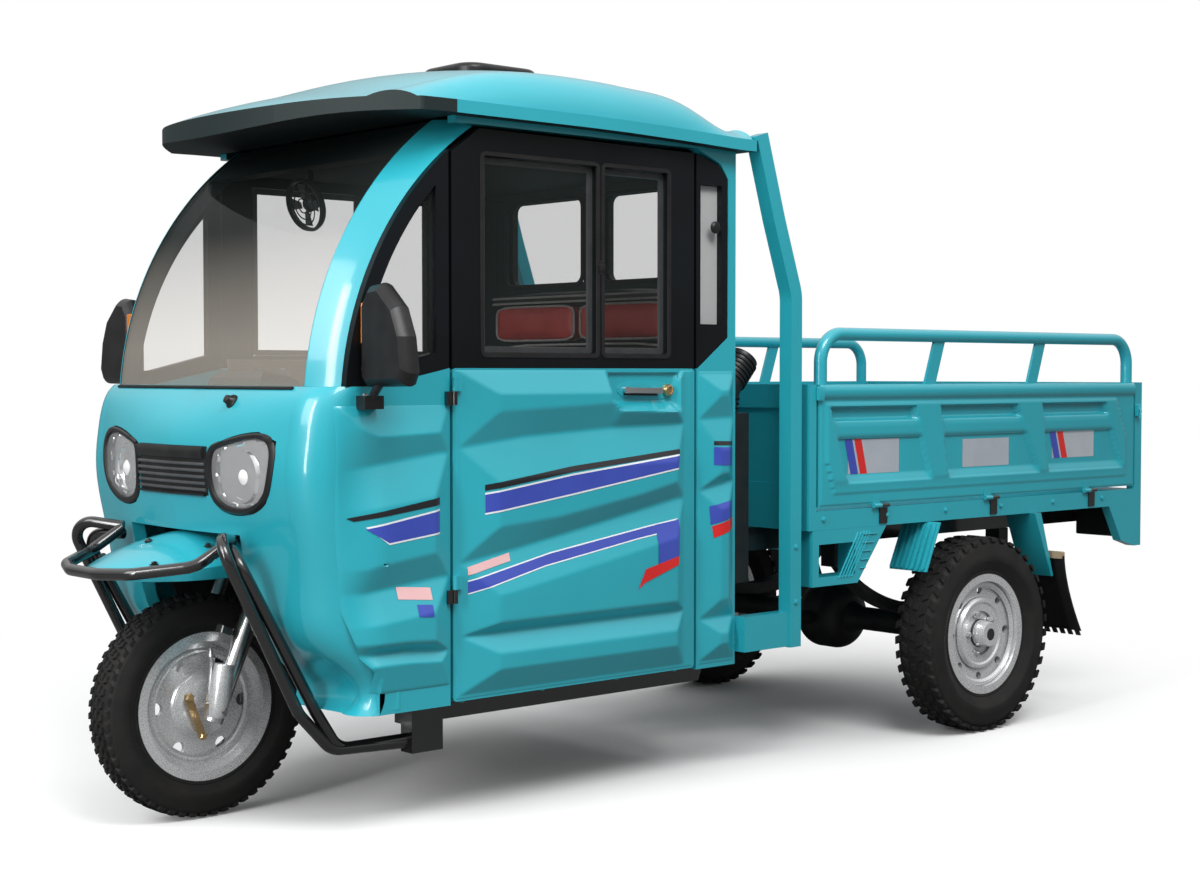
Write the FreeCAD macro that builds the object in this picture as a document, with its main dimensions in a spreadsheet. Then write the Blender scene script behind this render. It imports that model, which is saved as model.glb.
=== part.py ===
import FreeCAD, Part
import math
import os

import Sketcher
from FreeCAD import Placement, Rotation, Vector

# Cab cargo tricycle, millimetres, +X forward, +Y left, +Z up.
# Stations along X are measured from the front axle, as on a vehicle drawing, and
# heights from the ground. Every sub-part is then placed at the datum, which puts
# the origin under the middle of the whole vehicle.

SIZES = [
    # stance and wheels
    ("wheelbase", 2150), ("rear_track", 1050),
    ("front_reach", 289),
    ("front_tyre_radius", 252), ("front_tyre_width", 98),
    ("rear_tyre_radius", 272), ("rear_tyre_width", 125),
    ("rim_seat_radius", 152), ("rim_flange_radius", 168), ("rim_wall", 5),
    ("front_rim_half", 32), ("rear_rim_half", 40), ("tyre_fit", 0.2),
    ("front_hub_radius", 62), ("front_hub_half", 38), ("front_dish", 6),
    ("rear_hub_radius", 78), ("rear_hub_outer", 62), ("rear_hub_inner", 58), ("rear_dish", 22),
    ("front_axle_radius", 8), ("rear_spindle_radius", 17), ("running_gap", 0.05),
    # steering
    ("rake_angle", 23), ("yoke_offset", 41), ("leg_half_spacing", 85),
    ("slider_radius", 22), ("slider_foot", 30), ("slider_height", 235),
    ("stanchion_radius", 16.5), ("yoke_height", 366), ("yoke_thickness", 26),
    ("stem_radius", 15), ("head_tube_radius", 27), ("head_tube_height", 168),
    ("seat_gap", 0.3), ("collar_height", 30), ("bar_riser_height", 225),
    ("bar_half_width", 330), ("bar_sweep", 110), ("bar_radius", 11), ("grip_radius", 16),
    ("grip_length", 120), ("grip_fit", 0.3),
    # cab
    ("cab_half_width", 500), ("wall", 30), ("cab_floor_height", 276), ("floor_sheet", 24),
    ("belt_height", 1012), ("window_drop", 50),
    ("door_front_x", -345), ("door_rear_x", -1078), ("cab_rear_x", -1220),
    ("door_gap", 8), ("door_foot_gap", 6), ("seam", 0.3), ("rear_post_width", 26),
    ("nose_seam_x", -150), ("cowl_height", 973), ("cowl_x", -12),
    ("nose_x", 68), ("nose_corner", 90),
    ("lamp_centre_y", 268), ("grille_half_width", 152), ("grille_foot", 735), ("grille_top", 842),
    ("lamp_depth", 70), ("trim_gap", 0.3),
    ("well_half_width", 245), ("well_rear_x", -312), ("well_top_height", 652), ("well_sheet", 5),
    ("pillar_front", 17), ("pillar_back", 28), ("pillar_inner", 410), ("pillar_outer", 480),
    ("screen_foot_x", -42), ("screen_top_x", -350), ("screen_drop", 56), ("screen_bow", 68),
    ("screen_glass", 5), ("screen_lead", 15), ("header_depth", 50),
    ("glass_thickness", 4), ("frame_border", 34), ("window_frame_depth", 26),
    ("front_pane_x", -432), ("front_pane_end_x", -721), ("rear_pane_x", -786),
    ("rear_pane_end_x", -994), ("pane_foot", 1044), ("pane_drop", 57),
    ("rear_window_half", 418), ("rear_window_tall", 233), ("rear_window_drop", 109),
    ("groove_depth", 7), ("cup_depth", 13),
    ("quarter_chamfer", 76),
    # roof
    ("roof_half_width", 540), ("roof_rear_x", -1253), ("visor_x", -20), ("visor_bow", 40),
    ("visor_shoulder", 240), ("visor_sweep", 212), ("rim_height", 1587), ("roof_skirt", 28),
    ("crown_rise", 135), ("shoulder_half", 440),
    ("crown_drop", 36), ("rain_step", 10), ("roof_wall", 25),
    ("vent_x", -810), ("vent_length", 242), ("vent_width", 214), ("vent_rise", 42),
    # front guard and mudguard
    ("bar_tube_radius", 13), ("hoop_half_width", 240), ("hoop_height", 578),
    ("loop_y", 345), ("loop_spacing", 42),
    ("guard_tip_x", 245), ("guard_half_width", 185), ("guard_rim_height", 556),
    ("guard_crown_height", 645), ("guard_sheet", 5),
    # bed
    ("bed_half_width", 543), ("bed_front_x", -1446), ("bed_rear_x", -2926),
    ("bed_frame_foot", 597), ("bed_floor_height", 646), ("bed_sheet", 5),
    ("side_foot", 656), ("side_height", 972), ("side_depth", 28), ("headboard_depth", 26),
    ("post_width", 36), ("post_foot", 470), ("move_gap", 8),
    ("hinge_radius", 6), ("hinge_drop", 5), ("hinge_length", 60),
    ("rail_radius", 17), ("hoop_top_height", 1102), ("hoop_bend", 75), ("strut_width", 45),
    ("strut_depth", 8), ("tailgate_depth", 28), ("bay_depth", 8), ("slot_depth", 15),
    # guard posts behind the cab
    ("guard_tube", 40), ("guard_y", 520), ("guard_x", -1400), ("guard_foot", 305),
    ("guard_bend", 110), ("sill_beam_foot", 308), ("sill_beam_top", 396),
    # chassis
    ("rail_y", 330), ("rail_width", 40), ("rail_low", 214), ("rail_low_height", 60),
    ("rail_high", 535), ("rail_high_height", 60), ("kick_front_x", -1235), ("kick_rear_x", -1400),
    ("cross_height", 30), ("cross_width", 40),
    ("engine_front_x", -690), ("engine_length", 390), ("engine_half_width", 165),
    ("engine_height", 345), ("engine_gap", 12), ("shaft_radius", 20),
    ("axle_tube_radius", 34), ("axle_tube_half", 455), ("diff_radius", 98), ("diff_half", 85),
    ("spring_half_length", 370), ("spring_width", 50), ("spring_pack", 34),
    # fittings
    ("seat_width", 440), ("seat_front_x", -610), ("seat_length", 300), ("seat_height", 700),
    ("cushion", 90), ("bench_half_width", 400), ("bench_back_top", 1215),
    ("dash_depth", 140), ("mirror_inner", 505), ("mirror_outer", 666), ("mirror_x", -118),
    ("mirror_foot", 972), ("mirror_top", 1196), ("mirror_deep", 44), ("mirror_arm_radius", 9),
    ("flap_x", -2480), ("flap_top", 470), ("flap_length", 225), ("flap_width", 140),
    ("flap_sheet", 5), ("flap_lean", 36),
]

doc = FreeCAD.newDocument("cab_cargo_tricycle")
sheet = doc.addObject("Spreadsheet::Sheet", "Sizes")
for row, (alias, value) in enumerate(SIZES, 1):
    sheet.set("A%d" % row, alias)
    sheet.set("B%d" % row, str(value))
    sheet.setAlias("B%d" % row, alias)
doc.recompute()


class Size:
    """A number that remembers the sheet expression it comes from."""

    def __init__(self, value, text=None):
        self.value = float(value)
        self.text = text or repr(float(value))

    def combine(self, other, sign, value, turned=False):
        first, last = (other.text, self.text) if turned else (self.text, other.text)
        return Size(value, "(%s %s %s)" % (first, sign, last))

    def __add__(self, other):
        other = size(other)
        return self.combine(other, "+", self.value + other.value)

    __radd__ = __add__

    def __sub__(self, other):
        other = size(other)
        return self.combine(other, "-", self.value - other.value)

    def __rsub__(self, other):
        return size(other) - self

    def __mul__(self, other):
        other = size(other)
        return self.combine(other, "*", self.value * other.value)

    __rmul__ = __mul__

    def __truediv__(self, other):
        other = size(other)
        return self.combine(other, "/", self.value / other.value)

    def __neg__(self):
        return Size(-self.value, "(0 - %s)" % self.text)

    def __float__(self):
        return self.value


def size(value):
    return value if isinstance(value, Size) else Size(value)


class Sheet:
    """Reads a driving dimension by its alias."""

    def __getattr__(self, alias):
        return Size(getattr(sheet, alias), "Sizes." + alias)


D = Sheet()
WINDOW_TOP = D.rim_height - D.window_drop
PANE_TOP = WINDOW_TOP - D.pane_drop
REAR_WINDOW_TOP = D.rim_height - D.rear_window_drop
REAR_WINDOW_FOOT = REAR_WINDOW_TOP - D.rear_window_tall
SCREEN_TOP = D.rim_height - D.screen_drop
PILLAR_TOP = D.rim_height - D.roof_skirt - 1
CROWN = D.rim_height + D.crown_rise
VENT_TOP = CROWN + D.vent_rise
TAILGATE_FACE = D.bed_rear_x - D.move_gap - D.tailgate_depth
REAR_REACH = D.hinge_radius * 2 + 1 - TAILGATE_FACE
DATUM = (REAR_REACH - D.front_reach) / 2
PARTS = {}


def vec(x, y, z):
    return Vector(float(x), float(y), float(z))


def keep(label, item):
    """Name a finished sub-part, which is also the name of its file."""
    item.Label = label
    PARTS[label] = item
    return item


def place(item, x=0, y=0, z=0, turn=None):
    """Seat an object at a station of the vehicle, bound to the sheet."""
    if turn:
        item.Placement = Placement(vec(0, 0, 0), turn)
    for axis, value in (("x", DATUM + x), ("y", size(y)), ("z", size(z))):
        item.setExpression("Placement.Base." + axis, value.text)
    return item


def new_body(name):
    return doc.addObject("PartDesign::Body", name)


def new_sketch(body, role, offset=0):
    """A sketch on one of the body's own planes, set off along its normal."""
    sketch = body.newObject("Sketcher::SketchObject", body.Name + "_sketch")
    plane = [item for item in body.Origin.OriginFeatures if item.Role == role][0]
    sketch.AttachmentSupport = [(plane, "")]
    sketch.MapMode = "FlatFace"
    sketch.setExpression("AttachmentOffset.Base.z", size(offset).text)
    return sketch


def pin_point(sketch, curve, end, u, v):
    """Fix one end of a curve at a place that the sheet gives."""
    for kind, value in (("DistanceX", size(u)), ("DistanceY", size(v))):
        index = sketch.addConstraint(Sketcher.Constraint(kind, -1, 1, curve, end, value.value))
        sketch.setExpression("Constraints[%d]" % index, value.text)


def outline(sketch, points):
    """Closed chain of lines and arcs: (u, v), or (u, v, sagitta of the arc to the next)."""
    ends = []
    for number, point in enumerate(points):
        after = points[(number + 1) % len(points)]
        a = vec(point[0], point[1], 0)
        b = vec(after[0], after[1], 0)
        if len(point) == 2:
            ends.append((sketch.addGeometry(Part.LineSegment(a, b), False), 1, 2))
            continue
        bow = size(point[2])
        chord = b - a
        side = Vector(chord.y, -chord.x, 0).normalize()
        middle = (a + b) * 0.5 + side * bow.value
        if bow.value > 0:
            ends.append((sketch.addGeometry(Part.Arc(a, middle, b), False), 1, 2))
        else:
            ends.append((sketch.addGeometry(Part.Arc(b, middle, a), False), 2, 1))
    for number, point in enumerate(points):
        curve, start, stop = ends[number]
        following, first, _ = ends[(number + 1) % len(points)]
        sketch.addConstraint(Sketcher.Constraint("Coincident", curve, stop, following, first))
        pin_point(sketch, curve, start, point[0], point[1])
    for number, point in enumerate(points):
        if len(point) == 2:
            continue
        after = points[(number + 1) % len(points)]
        bow = size(point[2]) if float(point[2]) > 0 else -size(point[2])
        run = size(after[0]) - point[0]
        rise = size(after[1]) - point[1]
        radius = ((run * run + rise * rise) / 4 + bow * bow) / (2 * bow)
        link = Sketcher.Constraint("Radius", ends[number][0], radius.value)
        index = sketch.addConstraint(link)
        sketch.setExpression("Constraints[%d]" % index, radius.text)
    return sketch


def disc(sketch, u, v, radius):
    """A full circle bound to the sheet."""
    circle = Part.Circle(vec(u, v, 0), Vector(0, 0, 1), float(radius))
    curve = sketch.addGeometry(circle, False)
    pin_point(sketch, curve, 3, u, v)
    index = sketch.addConstraint(Sketcher.Constraint("Radius", curve, float(radius)))
    sketch.setExpression("Constraints[%d]" % index, size(radius).text)
    return sketch


def rectangle(sketch, low_u, low_v, high_u, high_v):
    corners = [(low_u, low_v), (high_u, low_v), (high_u, high_v), (low_u, high_v)]
    return outline(sketch, corners)


def pad(body, sketch, length, midplane=False, back=False):
    feature = body.newObject("PartDesign::Pad", body.Name + "_pad")
    feature.Profile = sketch
    feature.setExpression("Length", size(length).text)
    feature.Midplane = midplane
    feature.Reversed = back
    return feature


def pocket(body, sketch, length, midplane=False, back=False):
    feature = body.newObject("PartDesign::Pocket", body.Name + "_pocket")
    feature.Profile = sketch
    feature.setExpression("Length", size(length).text)
    feature.Midplane = midplane
    feature.Reversed = back
    return feature


def turned(body, sketch, axis):
    feature = body.newObject("PartDesign::Revolution", body.Name + "_turned")
    feature.Profile = sketch
    feature.ReferenceAxis = (sketch, [axis])
    feature.Angle = 360
    return feature


def loft(body, sketches, cut=False):
    kind = "PartDesign::SubtractiveLoft" if cut else "PartDesign::AdditiveLoft"
    feature = body.newObject(kind, body.Name + "_loft")
    feature.Profile = sketches[0]
    feature.Sections = sketches[1:]
    return feature


def rounded(body, radius, chosen):
    """Round the edges of the tip that the test picks by their middle and direction."""
    doc.recompute()
    base = body.Tip
    names = []
    for number, edge in enumerate(base.Shape.Edges, 1):
        if chosen(edge):
            names.append("Edge%d" % number)
    feature = body.newObject("PartDesign::Fillet", body.Name + "_round")
    feature.Base = (base, names)
    feature.setExpression("Radius", size(radius).text)
    return feature


def along(direction):
    """Test for straight edges that run along one axis."""
    def chosen(edge):
        if not isinstance(edge.Curve, Part.Line):
            return False
        return abs(edge.tangentAt(edge.FirstParameter).dot(direction)) > 0.999
    return chosen


X, Y, Z = Vector(1, 0, 0), Vector(0, 1, 0), Vector(0, 0, 1)


def mirrored(source, name):
    item = doc.addObject("Part::Mirroring", name)
    item.Source = source
    item.Normal = Y
    return item


def grouped(name, items):
    item = doc.addObject("Part::Compound", name)
    item.Links = items
    return item


def pair(label, left):
    """The left piece and its mirror image as one sub-part of two solids."""
    right = mirrored(left, label + "_right_half")
    return keep(label, grouped(label, [left, right]))


def left_and_right(label, left):
    """The left piece and its mirror image as two sub-parts."""
    keep(label + "_left", left)
    keep(label + "_right", mirrored(left, label + "_right"))


def cut(name, base, tools):
    tool = tools[0] if len(tools) == 1 else fuse(name + "_tools", tools)
    item = doc.addObject("Part::Cut", name)
    item.Base, item.Tool = base, tool
    return item


def fuse(name, items):
    item = doc.addObject("Part::MultiFuse", name)
    item.Shapes = items
    return item


def common(name, base, tool):
    item = doc.addObject("Part::Common", name)
    item.Base, item.Tool = base, tool
    return item


def box(name, low, high):
    """A box between two corners, placed at the datum."""
    item = doc.addObject("Part::Box", name)
    for prop, a, b in zip(("Length", "Width", "Height"), low, high):
        item.setExpression(prop, (size(b) - a).text)
    return place(item, *low)


def coded(name, shape):
    """A feature whose shape is worked out from the sheet, placed at the datum."""
    item = doc.addObject("Part::Feature", name)
    item.Shape = shape
    item.Placement = Placement(vec(DATUM, 0, 0), Rotation())
    return item


def bent_path(points, bend):
    """Straight runs joined by tangent arcs of one radius."""
    edges = []
    last = points[0]
    for number in range(1, len(points) - 1):
        corner = points[number]
        before = (points[number - 1] - corner).normalize()
        after = (points[number + 1] - corner).normalize()
        half = before.getAngle(after) / 2
        reach = min(bend / math.tan(half), (last - corner).Length * 0.49,
                    (points[number + 1] - corner).Length * 0.49)
        radius = reach * math.tan(half)
        start = corner + before * reach
        stop = corner + after * reach
        inward = (before + after).normalize()
        middle = corner + inward * (radius / math.sin(half) - radius)
        edges.append(Part.LineSegment(last, start).toShape())
        edges.append(Part.Arc(start, middle, stop).toShape())
        last = stop
    edges.append(Part.LineSegment(last, points[-1]).toShape())
    return Part.Wire(edges)


def round_tube(points, radius, bend):
    """A bent round tube along corner points."""
    path = bent_path(points, float(bend))
    start = points[1] - points[0]
    ring = Part.Wire([Part.Circle(points[0], start, float(radius)).toShape()])
    return path.makePipeShell([ring], True, False)


def square_tube(points, width, bend):
    """A bent square tube along corner points in one upright plane."""
    path = bent_path(points, float(bend))
    start = (points[1] - points[0]).normalize()
    side = Y * (float(width) / 2)
    rise = start.cross(Y) * (float(width) / 2)
    corners = [points[0] + side + rise, points[0] - side + rise,
               points[0] - side - rise, points[0] + side - rise]
    profile = Part.makePolygon(corners + [corners[0]])
    return path.makePipeShell([profile], True, False)


def bar(low, high):
    """A plain box shape between two corners, in vehicle stations."""
    a, b = vec(*low), vec(*high)
    return Part.makeBox(b.x - a.x, b.y - a.y, b.z - a.z, a)


def side_pad(name, points, low_y, depth):
    """A plate cut to a side-view outline, from low_y outwards."""
    body = new_body(name)
    sketch = new_sketch(body, "XZ_Plane", -size(low_y) - depth)
    outline(sketch, points)
    pad(body, sketch, depth)
    return place(body)


# Pressed channels of the cab sides in side view, taken from the photograph
NOSE_GROOVES = [
    [(-308, 829), (-308, 898), (-90, 885), (-40, 795)],
    [(-307, 560), (-307, 620), (-132, 596), (-114, 538)],
    [(-306, 376), (-306, 420), (-213, 429), (-213, 386)],
]
DOOR_GROOVES = [
    [(-369, 839), (-406, 915), (-623, 924), (-797, 932), (-819, 910), (-1022, 908), (-1022, 880),
     (-830, 875), (-544, 859)],
    [(-373, 586), (-415, 659), (-628, 676), (-887, 717), (-1022, 746), (-1016, 699), (-736, 647),
     (-518, 608)],
    [(-372, 386), (-383, 442), (-1011, 447), (-1011, 374)],
]
HANDLE_CUP = [(-797, 1003), (-797, 940), (-819, 918), (-1022, 914), (-1022, 1003)]
REAR_GROOVES = [
    [(-1094, 889), (-1130, 945), (-1205, 947), (-1205, 892)],
    [(-1102, 715), (-1126, 749), (-1195, 759), (-1195, 734)],
    [(-1099, 398), (-1108, 443), (-1205, 446), (-1205, 400)],
]


def press(body, outlines, face_y, depth):
    """Channels sunk into the outer face of a side panel."""
    for points in outlines:
        outline(sketch := new_sketch(body, "XZ_Plane", -size(face_y) - 1), points)
        pocket(body, sketch, size(depth) + 1, back=True)


# Wheels
def bore_web(body, count, ring, radius):
    """Lightening holes through the web of a wheel."""
    sketch = new_sketch(body, "XZ_Plane")
    for number in range(count):
        angle = 2 * math.pi * number / count
        disc(sketch, ring * math.cos(angle), ring * math.sin(angle), radius)
    pocket(body, sketch, 2 * D.rim_flange_radius, midplane=True)


def make_tyre(label, radius, width, rim_half, x, y):
    body = new_body(label)
    sketch = new_sketch(body, "YZ_Plane")
    seat = D.rim_seat_radius + D.tyre_fit
    half = width / 2
    crown, bead = half * 0.74, rim_half - 1
    shoulder = radius - half * 0.22
    waist = (seat + radius) / 2
    outline(sketch, [
        (-bead, seat), (bead, seat), (bead, seat + 18, 7), (half, waist + 4, 4),
        (crown, shoulder, half * 0.22), (-crown, shoulder, 4), (-half, waist + 4, 7),
        (-bead, seat + 18),
    ])
    turned(body, sketch, "H_Axis")
    place(body, x, y, radius)
    return keep(label, body)


def make_front_rim():
    body = new_body("front_rim")
    sketch = new_sketch(body, "YZ_Plane")
    edge = D.front_rim_half + D.rim_wall
    lip = D.rim_seat_radius - D.rim_wall
    web = D.front_dish
    hub = D.front_hub_radius
    bore = D.front_axle_radius + D.running_gap
    outline(sketch, [
        (-edge, D.rim_flange_radius), (-edge, lip), (-web, lip - 8), (-web, hub + 10),
        (-D.front_hub_half, hub), (-D.front_hub_half, bore), (D.front_hub_half, bore),
        (D.front_hub_half, hub), (web, hub + 10), (web, lip - 8), (edge, lip),
        (edge, D.rim_flange_radius), (D.front_rim_half, D.rim_flange_radius),
        (D.front_rim_half, D.rim_seat_radius), (-D.front_rim_half, D.rim_seat_radius),
        (-D.front_rim_half, D.rim_flange_radius),
    ])
    turned(body, sketch, "H_Axis")
    bore_web(body, 6, (lip + hub) / 2 + 4, 15)
    place(body, 0, 0, D.front_tyre_radius)
    return keep("front_rim", body)


def make_rear_rim():
    """Dished steel wheel with its brake drum, seen from the left."""
    body = new_body("rear_rim_left")
    sketch = new_sketch(body, "YZ_Plane")
    edge = D.rear_rim_half + D.rim_wall
    lip = D.rim_seat_radius - D.rim_wall
    web = D.rear_dish
    hub = D.rear_hub_radius
    bore = D.rear_spindle_radius + D.running_gap
    outline(sketch, [
        (-edge, D.rim_flange_radius), (-edge, lip), (web - 10, lip), (web - 18, hub + 12),
        (-D.rear_hub_inner, hub + 12), (-D.rear_hub_inner, bore), (D.rear_hub_outer, bore),
        (D.rear_hub_outer, hub * 0.42), (web, hub * 0.5), (web - 6, hub + 12),
        (web + 4, lip), (edge, lip),
        (edge, D.rim_flange_radius), (D.rear_rim_half, D.rim_flange_radius),
        (D.rear_rim_half, D.rim_seat_radius), (-D.rear_rim_half, D.rim_seat_radius),
        (-D.rear_rim_half, D.rim_flange_radius),
    ])
    turned(body, sketch, "H_Axis")
    bore_web(body, 8, (lip + hub) / 2 + 8, 11)
    place(body, -D.wheelbase, D.rear_track / 2, D.rear_tyre_radius)
    left_and_right("rear_rim", body)


# Steering, drawn upright in its own frame: Z up the steering axis, the axle at
# yoke_offset along X on the level of the frame's origin
RAKE = math.radians(float(D.rake_angle))
FORK_TURN = Rotation(Y, -float(D.rake_angle))
FORK_BASE = vec(-D.yoke_offset * math.cos(RAKE), 0,
                D.front_tyre_radius - D.yoke_offset * math.sin(RAKE))
YOKE_TOP = D.yoke_height + D.yoke_thickness
HEAD_FOOT = YOKE_TOP + D.seat_gap
HEAD_TOP = HEAD_FOOT + D.head_tube_height


def in_fork_frame(name, shape):
    item = doc.addObject("Part::Feature", name)
    item.Shape = shape
    item.Placement = Placement(FORK_BASE + vec(DATUM, 0, 0), FORK_TURN)
    return item


def rod(radius, low, high, x=0, y=0):
    """An upright round bar in the fork's frame."""
    return Part.makeCylinder(float(radius), float(size(high) - low), vec(x, y, low))


def make_fork():
    spacing, forward = D.leg_half_spacing, D.yoke_offset
    legs = [rod(D.stanchion_radius, D.slider_height, D.yoke_height + 4, forward, side * spacing)
            for side in (1, -1)]
    reach = spacing + D.stanchion_radius + 8
    ear = D.stanchion_radius + 8
    yoke = bar((-26, -reach, D.yoke_height), (forward + ear, reach, YOKE_TOP))
    corners = [edge for edge in yoke.Edges if abs(edge.tangentAt(0).dot(Z)) > 0.9]
    yoke = yoke.makeFillet(float(ear) * 0.9, corners)
    stem = rod(D.stem_radius, YOKE_TOP - 1, HEAD_TOP + D.collar_height)
    shape = yoke.fuse(legs + [stem])
    keep("fork_yoke", in_fork_frame("fork_yoke", shape.removeSplitter()))


def make_sliders():
    parts = []
    axle_half = D.leg_half_spacing + D.slider_radius + 10
    for side in (1, -1):
        y = side * D.leg_half_spacing
        tube = rod(D.slider_radius, -D.slider_foot, D.slider_height, D.yoke_offset, y)
        parts.append(tube)
    axle = Part.makeCylinder(float(D.front_axle_radius), 2 * float(axle_half),
                             vec(D.yoke_offset, -axle_half, 0), Y)
    shape = axle.fuse(parts)
    keep("fork_legs", in_fork_frame("fork_legs", shape.removeSplitter()))


def make_handlebar():
    low = HEAD_TOP + D.seat_gap
    high = low + D.bar_riser_height
    collar = rod(D.stem_radius + 12, low, low + D.collar_height)
    top = HEAD_TOP + D.collar_height + D.seat_gap
    collar = collar.fuse(rod(D.stem_radius + 12, low + D.collar_height - 1, top + 8))
    collar = collar.cut(rod(D.stem_radius, low - 1, top))
    riser = rod(D.stem_radius + 3, top + 4, high)
    span = D.bar_half_width - D.grip_length
    points = [vec(-D.bar_sweep - 25, D.bar_half_width, high - 40), vec(-55, span - 40, high - 5),
              vec(0, 110, high), vec(0, -110, high), vec(-55, -(span - 40), high - 5),
              vec(-D.bar_sweep - 25, -D.bar_half_width, high - 40)]
    tube = round_tube(points, D.bar_radius, 70)
    keep("handlebar", in_fork_frame("handlebar", collar.fuse([riser, tube]).removeSplitter()))
    grips = []
    for end, inner in ((0, 1), (-1, -2)):
        axis = (points[inner] - points[end]).normalize()
        sleeve = Part.makeCylinder(float(D.grip_radius), float(D.grip_length),
                                   points[end] - axis * 4, axis)
        bore = Part.makeCylinder(float(D.bar_radius + D.grip_fit), float(D.grip_length),
                                 points[end] - axis * float(D.grip_fit), axis)
        grips.append(sleeve.cut(bore))
    keep("handlebar_grips", in_fork_frame("handlebar_grips", Part.makeCompound(grips)))


def make_head_frame():
    """Head tube and the two tubes that brace it from the floor."""
    tube = rod(D.head_tube_radius, HEAD_FOOT, HEAD_TOP)
    lean = Placement(FORK_BASE, FORK_TURN)
    tube.Placement = lean
    bore = rod(D.stem_radius + D.running_gap, HEAD_FOOT - 5, HEAD_TOP + 5)
    bore.Placement = lean
    top = lean.multVec(vec(-8, 0, HEAD_TOP - 40))
    braces = []
    for side in (1, -1):
        points = [top, vec(D.well_rear_x - 45, side * 60, D.well_top_height + 10),
                  vec(D.well_rear_x - 60, side * 130, D.cab_floor_height + D.floor_sheet + 60),
                  vec(D.well_rear_x - 60, side * 130, D.cab_floor_height + D.floor_sheet)]
        braces.append(round_tube(points, 17, 60))
    shape = tube.fuse(braces).cut(bore)
    keep("head_frame", coded("head_frame", shape))


# Cab
def nose_section(body, height, front, corner_x, side_x, inset=0):
    """Plan outline of the nose at one height: a bowed front between round corners."""
    half = D.cab_half_width - inset
    edge = half - D.nose_corner + 5
    rear = D.nose_seam_x - (200 if float(size(inset)) else 0)
    sketch = new_sketch(body, "XY_Plane", height)
    return outline(sketch, [
        (rear, -half), (side_x, -half, 24), (size(corner_x) + 12 - inset, -edge, 8),
        (size(front) - inset, 0, 8), (size(corner_x) + 12 - inset, edge, 24), (side_x, half),
        (rear, half),
    ])


NOSE_STATIONS = [
    # height, front of the middle, front of the corner, start of the flat side
    (D.cab_floor_height, -90, -122, -148), (size(400), -30, -72, -138),
    (size(529), 25, -20, -108), (size(640), 48, -4, -80),
    (D.grille_foot + 55, D.nose_x, 16, -52), (size(868), D.nose_x - 4, 8, -58),
    (size(930), D.nose_x - 36, -4, -74), (D.cowl_height, D.cowl_x, -36, -100),
]


def make_nose():
    form = new_body("nose_form")
    loft(form, [nose_section(form, *row) for row in NOSE_STATIONS])
    place(form)
    hollow = new_body("nose_hollow")
    rows = list(NOSE_STATIONS)
    rows[0] = (D.cab_floor_height - 5,) + rows[0][1:]
    rows[-1] = (D.cowl_height + 5,) + rows[-1][1:]
    loft(hollow, [nose_section(hollow, *row, inset=D.wall) for row in rows])
    place(hollow)
    half = D.well_half_width
    well = box("nose_well", (D.nose_seam_x - 50, -half, D.cab_floor_height - 20),
               (D.nose_x + 60, half, D.guard_crown_height + 8))
    return form, hollow, well


def lamp_outline(body, offset, grow=0):
    """Front view of a headlamp: a leaning shield, higher at its outer corner."""
    g = size(grow)
    y = D.lamp_centre_y
    sketch = new_sketch(body, "YZ_Plane", offset)
    return outline(sketch, [
        (y - 113 - g, 748 - g), (y - 76, 705 - g, 6), (y + 16, 699 - g, 6),
        (y + 84 + g, 728 - g), (y + 108 + g, 780), (y + 115 + g, 858 + g), (y + 56, 877 + g, 5),
        (y - 76, 852 + g, 3), (y - 113 - g, 836 + g),
    ])


def lamp_prism(name, grow):
    body = new_body(name)
    pad(body, lamp_outline(body, D.nose_x - D.lamp_depth - 90, grow), 300)
    return place(body)


def grille_prism(name, grow):
    body = new_body(name)
    g = size(grow)
    half = D.grille_half_width
    sketch = new_sketch(body, "YZ_Plane", D.nose_x - D.wall - 40)
    outline(sketch, [(-half - g, D.grille_foot - g), (half + g, D.grille_foot - g),
                     (half + g, D.grille_top + g), (-half - g, D.grille_top + g)])
    pad(body, sketch, 200)
    return place(body)


def make_fascia():
    form, hollow, well = make_nose()
    hole = lamp_prism("lamp_hole", D.trim_gap)
    holes = [hole, mirrored(hole, "lamp_hole_right"), grille_prism("grille_hole", D.trim_gap)]
    for points in NOSE_GROOVES:
        channel = side_pad("nose_channel", points, D.cab_half_width - D.groove_depth, D.wall)
        holes.extend([channel, mirrored(channel, channel.Name + "_right")])
    keep("front_fascia", cut("front_fascia", form, [hollow, well] + holes))
    rear = box("lamp_rear", (D.nose_seam_x - 200, -D.cab_half_width, 600),
               (D.nose_x - D.lamp_depth, D.cab_half_width, 1000))
    lamp = common("lamp_flush", form, lamp_prism("lamp_prism", 0))
    lamp = cut("lamp_body", lamp, [rear])
    pair("headlamps", lamp)
    back = box("grille_rear", (D.nose_seam_x - 200, -D.cab_half_width, 600),
               (D.nose_x - D.wall, D.cab_half_width, 1000))
    mesh = cut("grille_body", common("grille_flush", form, grille_prism("grille_prism", 0)), [back])
    keep("grille", mesh)


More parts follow.
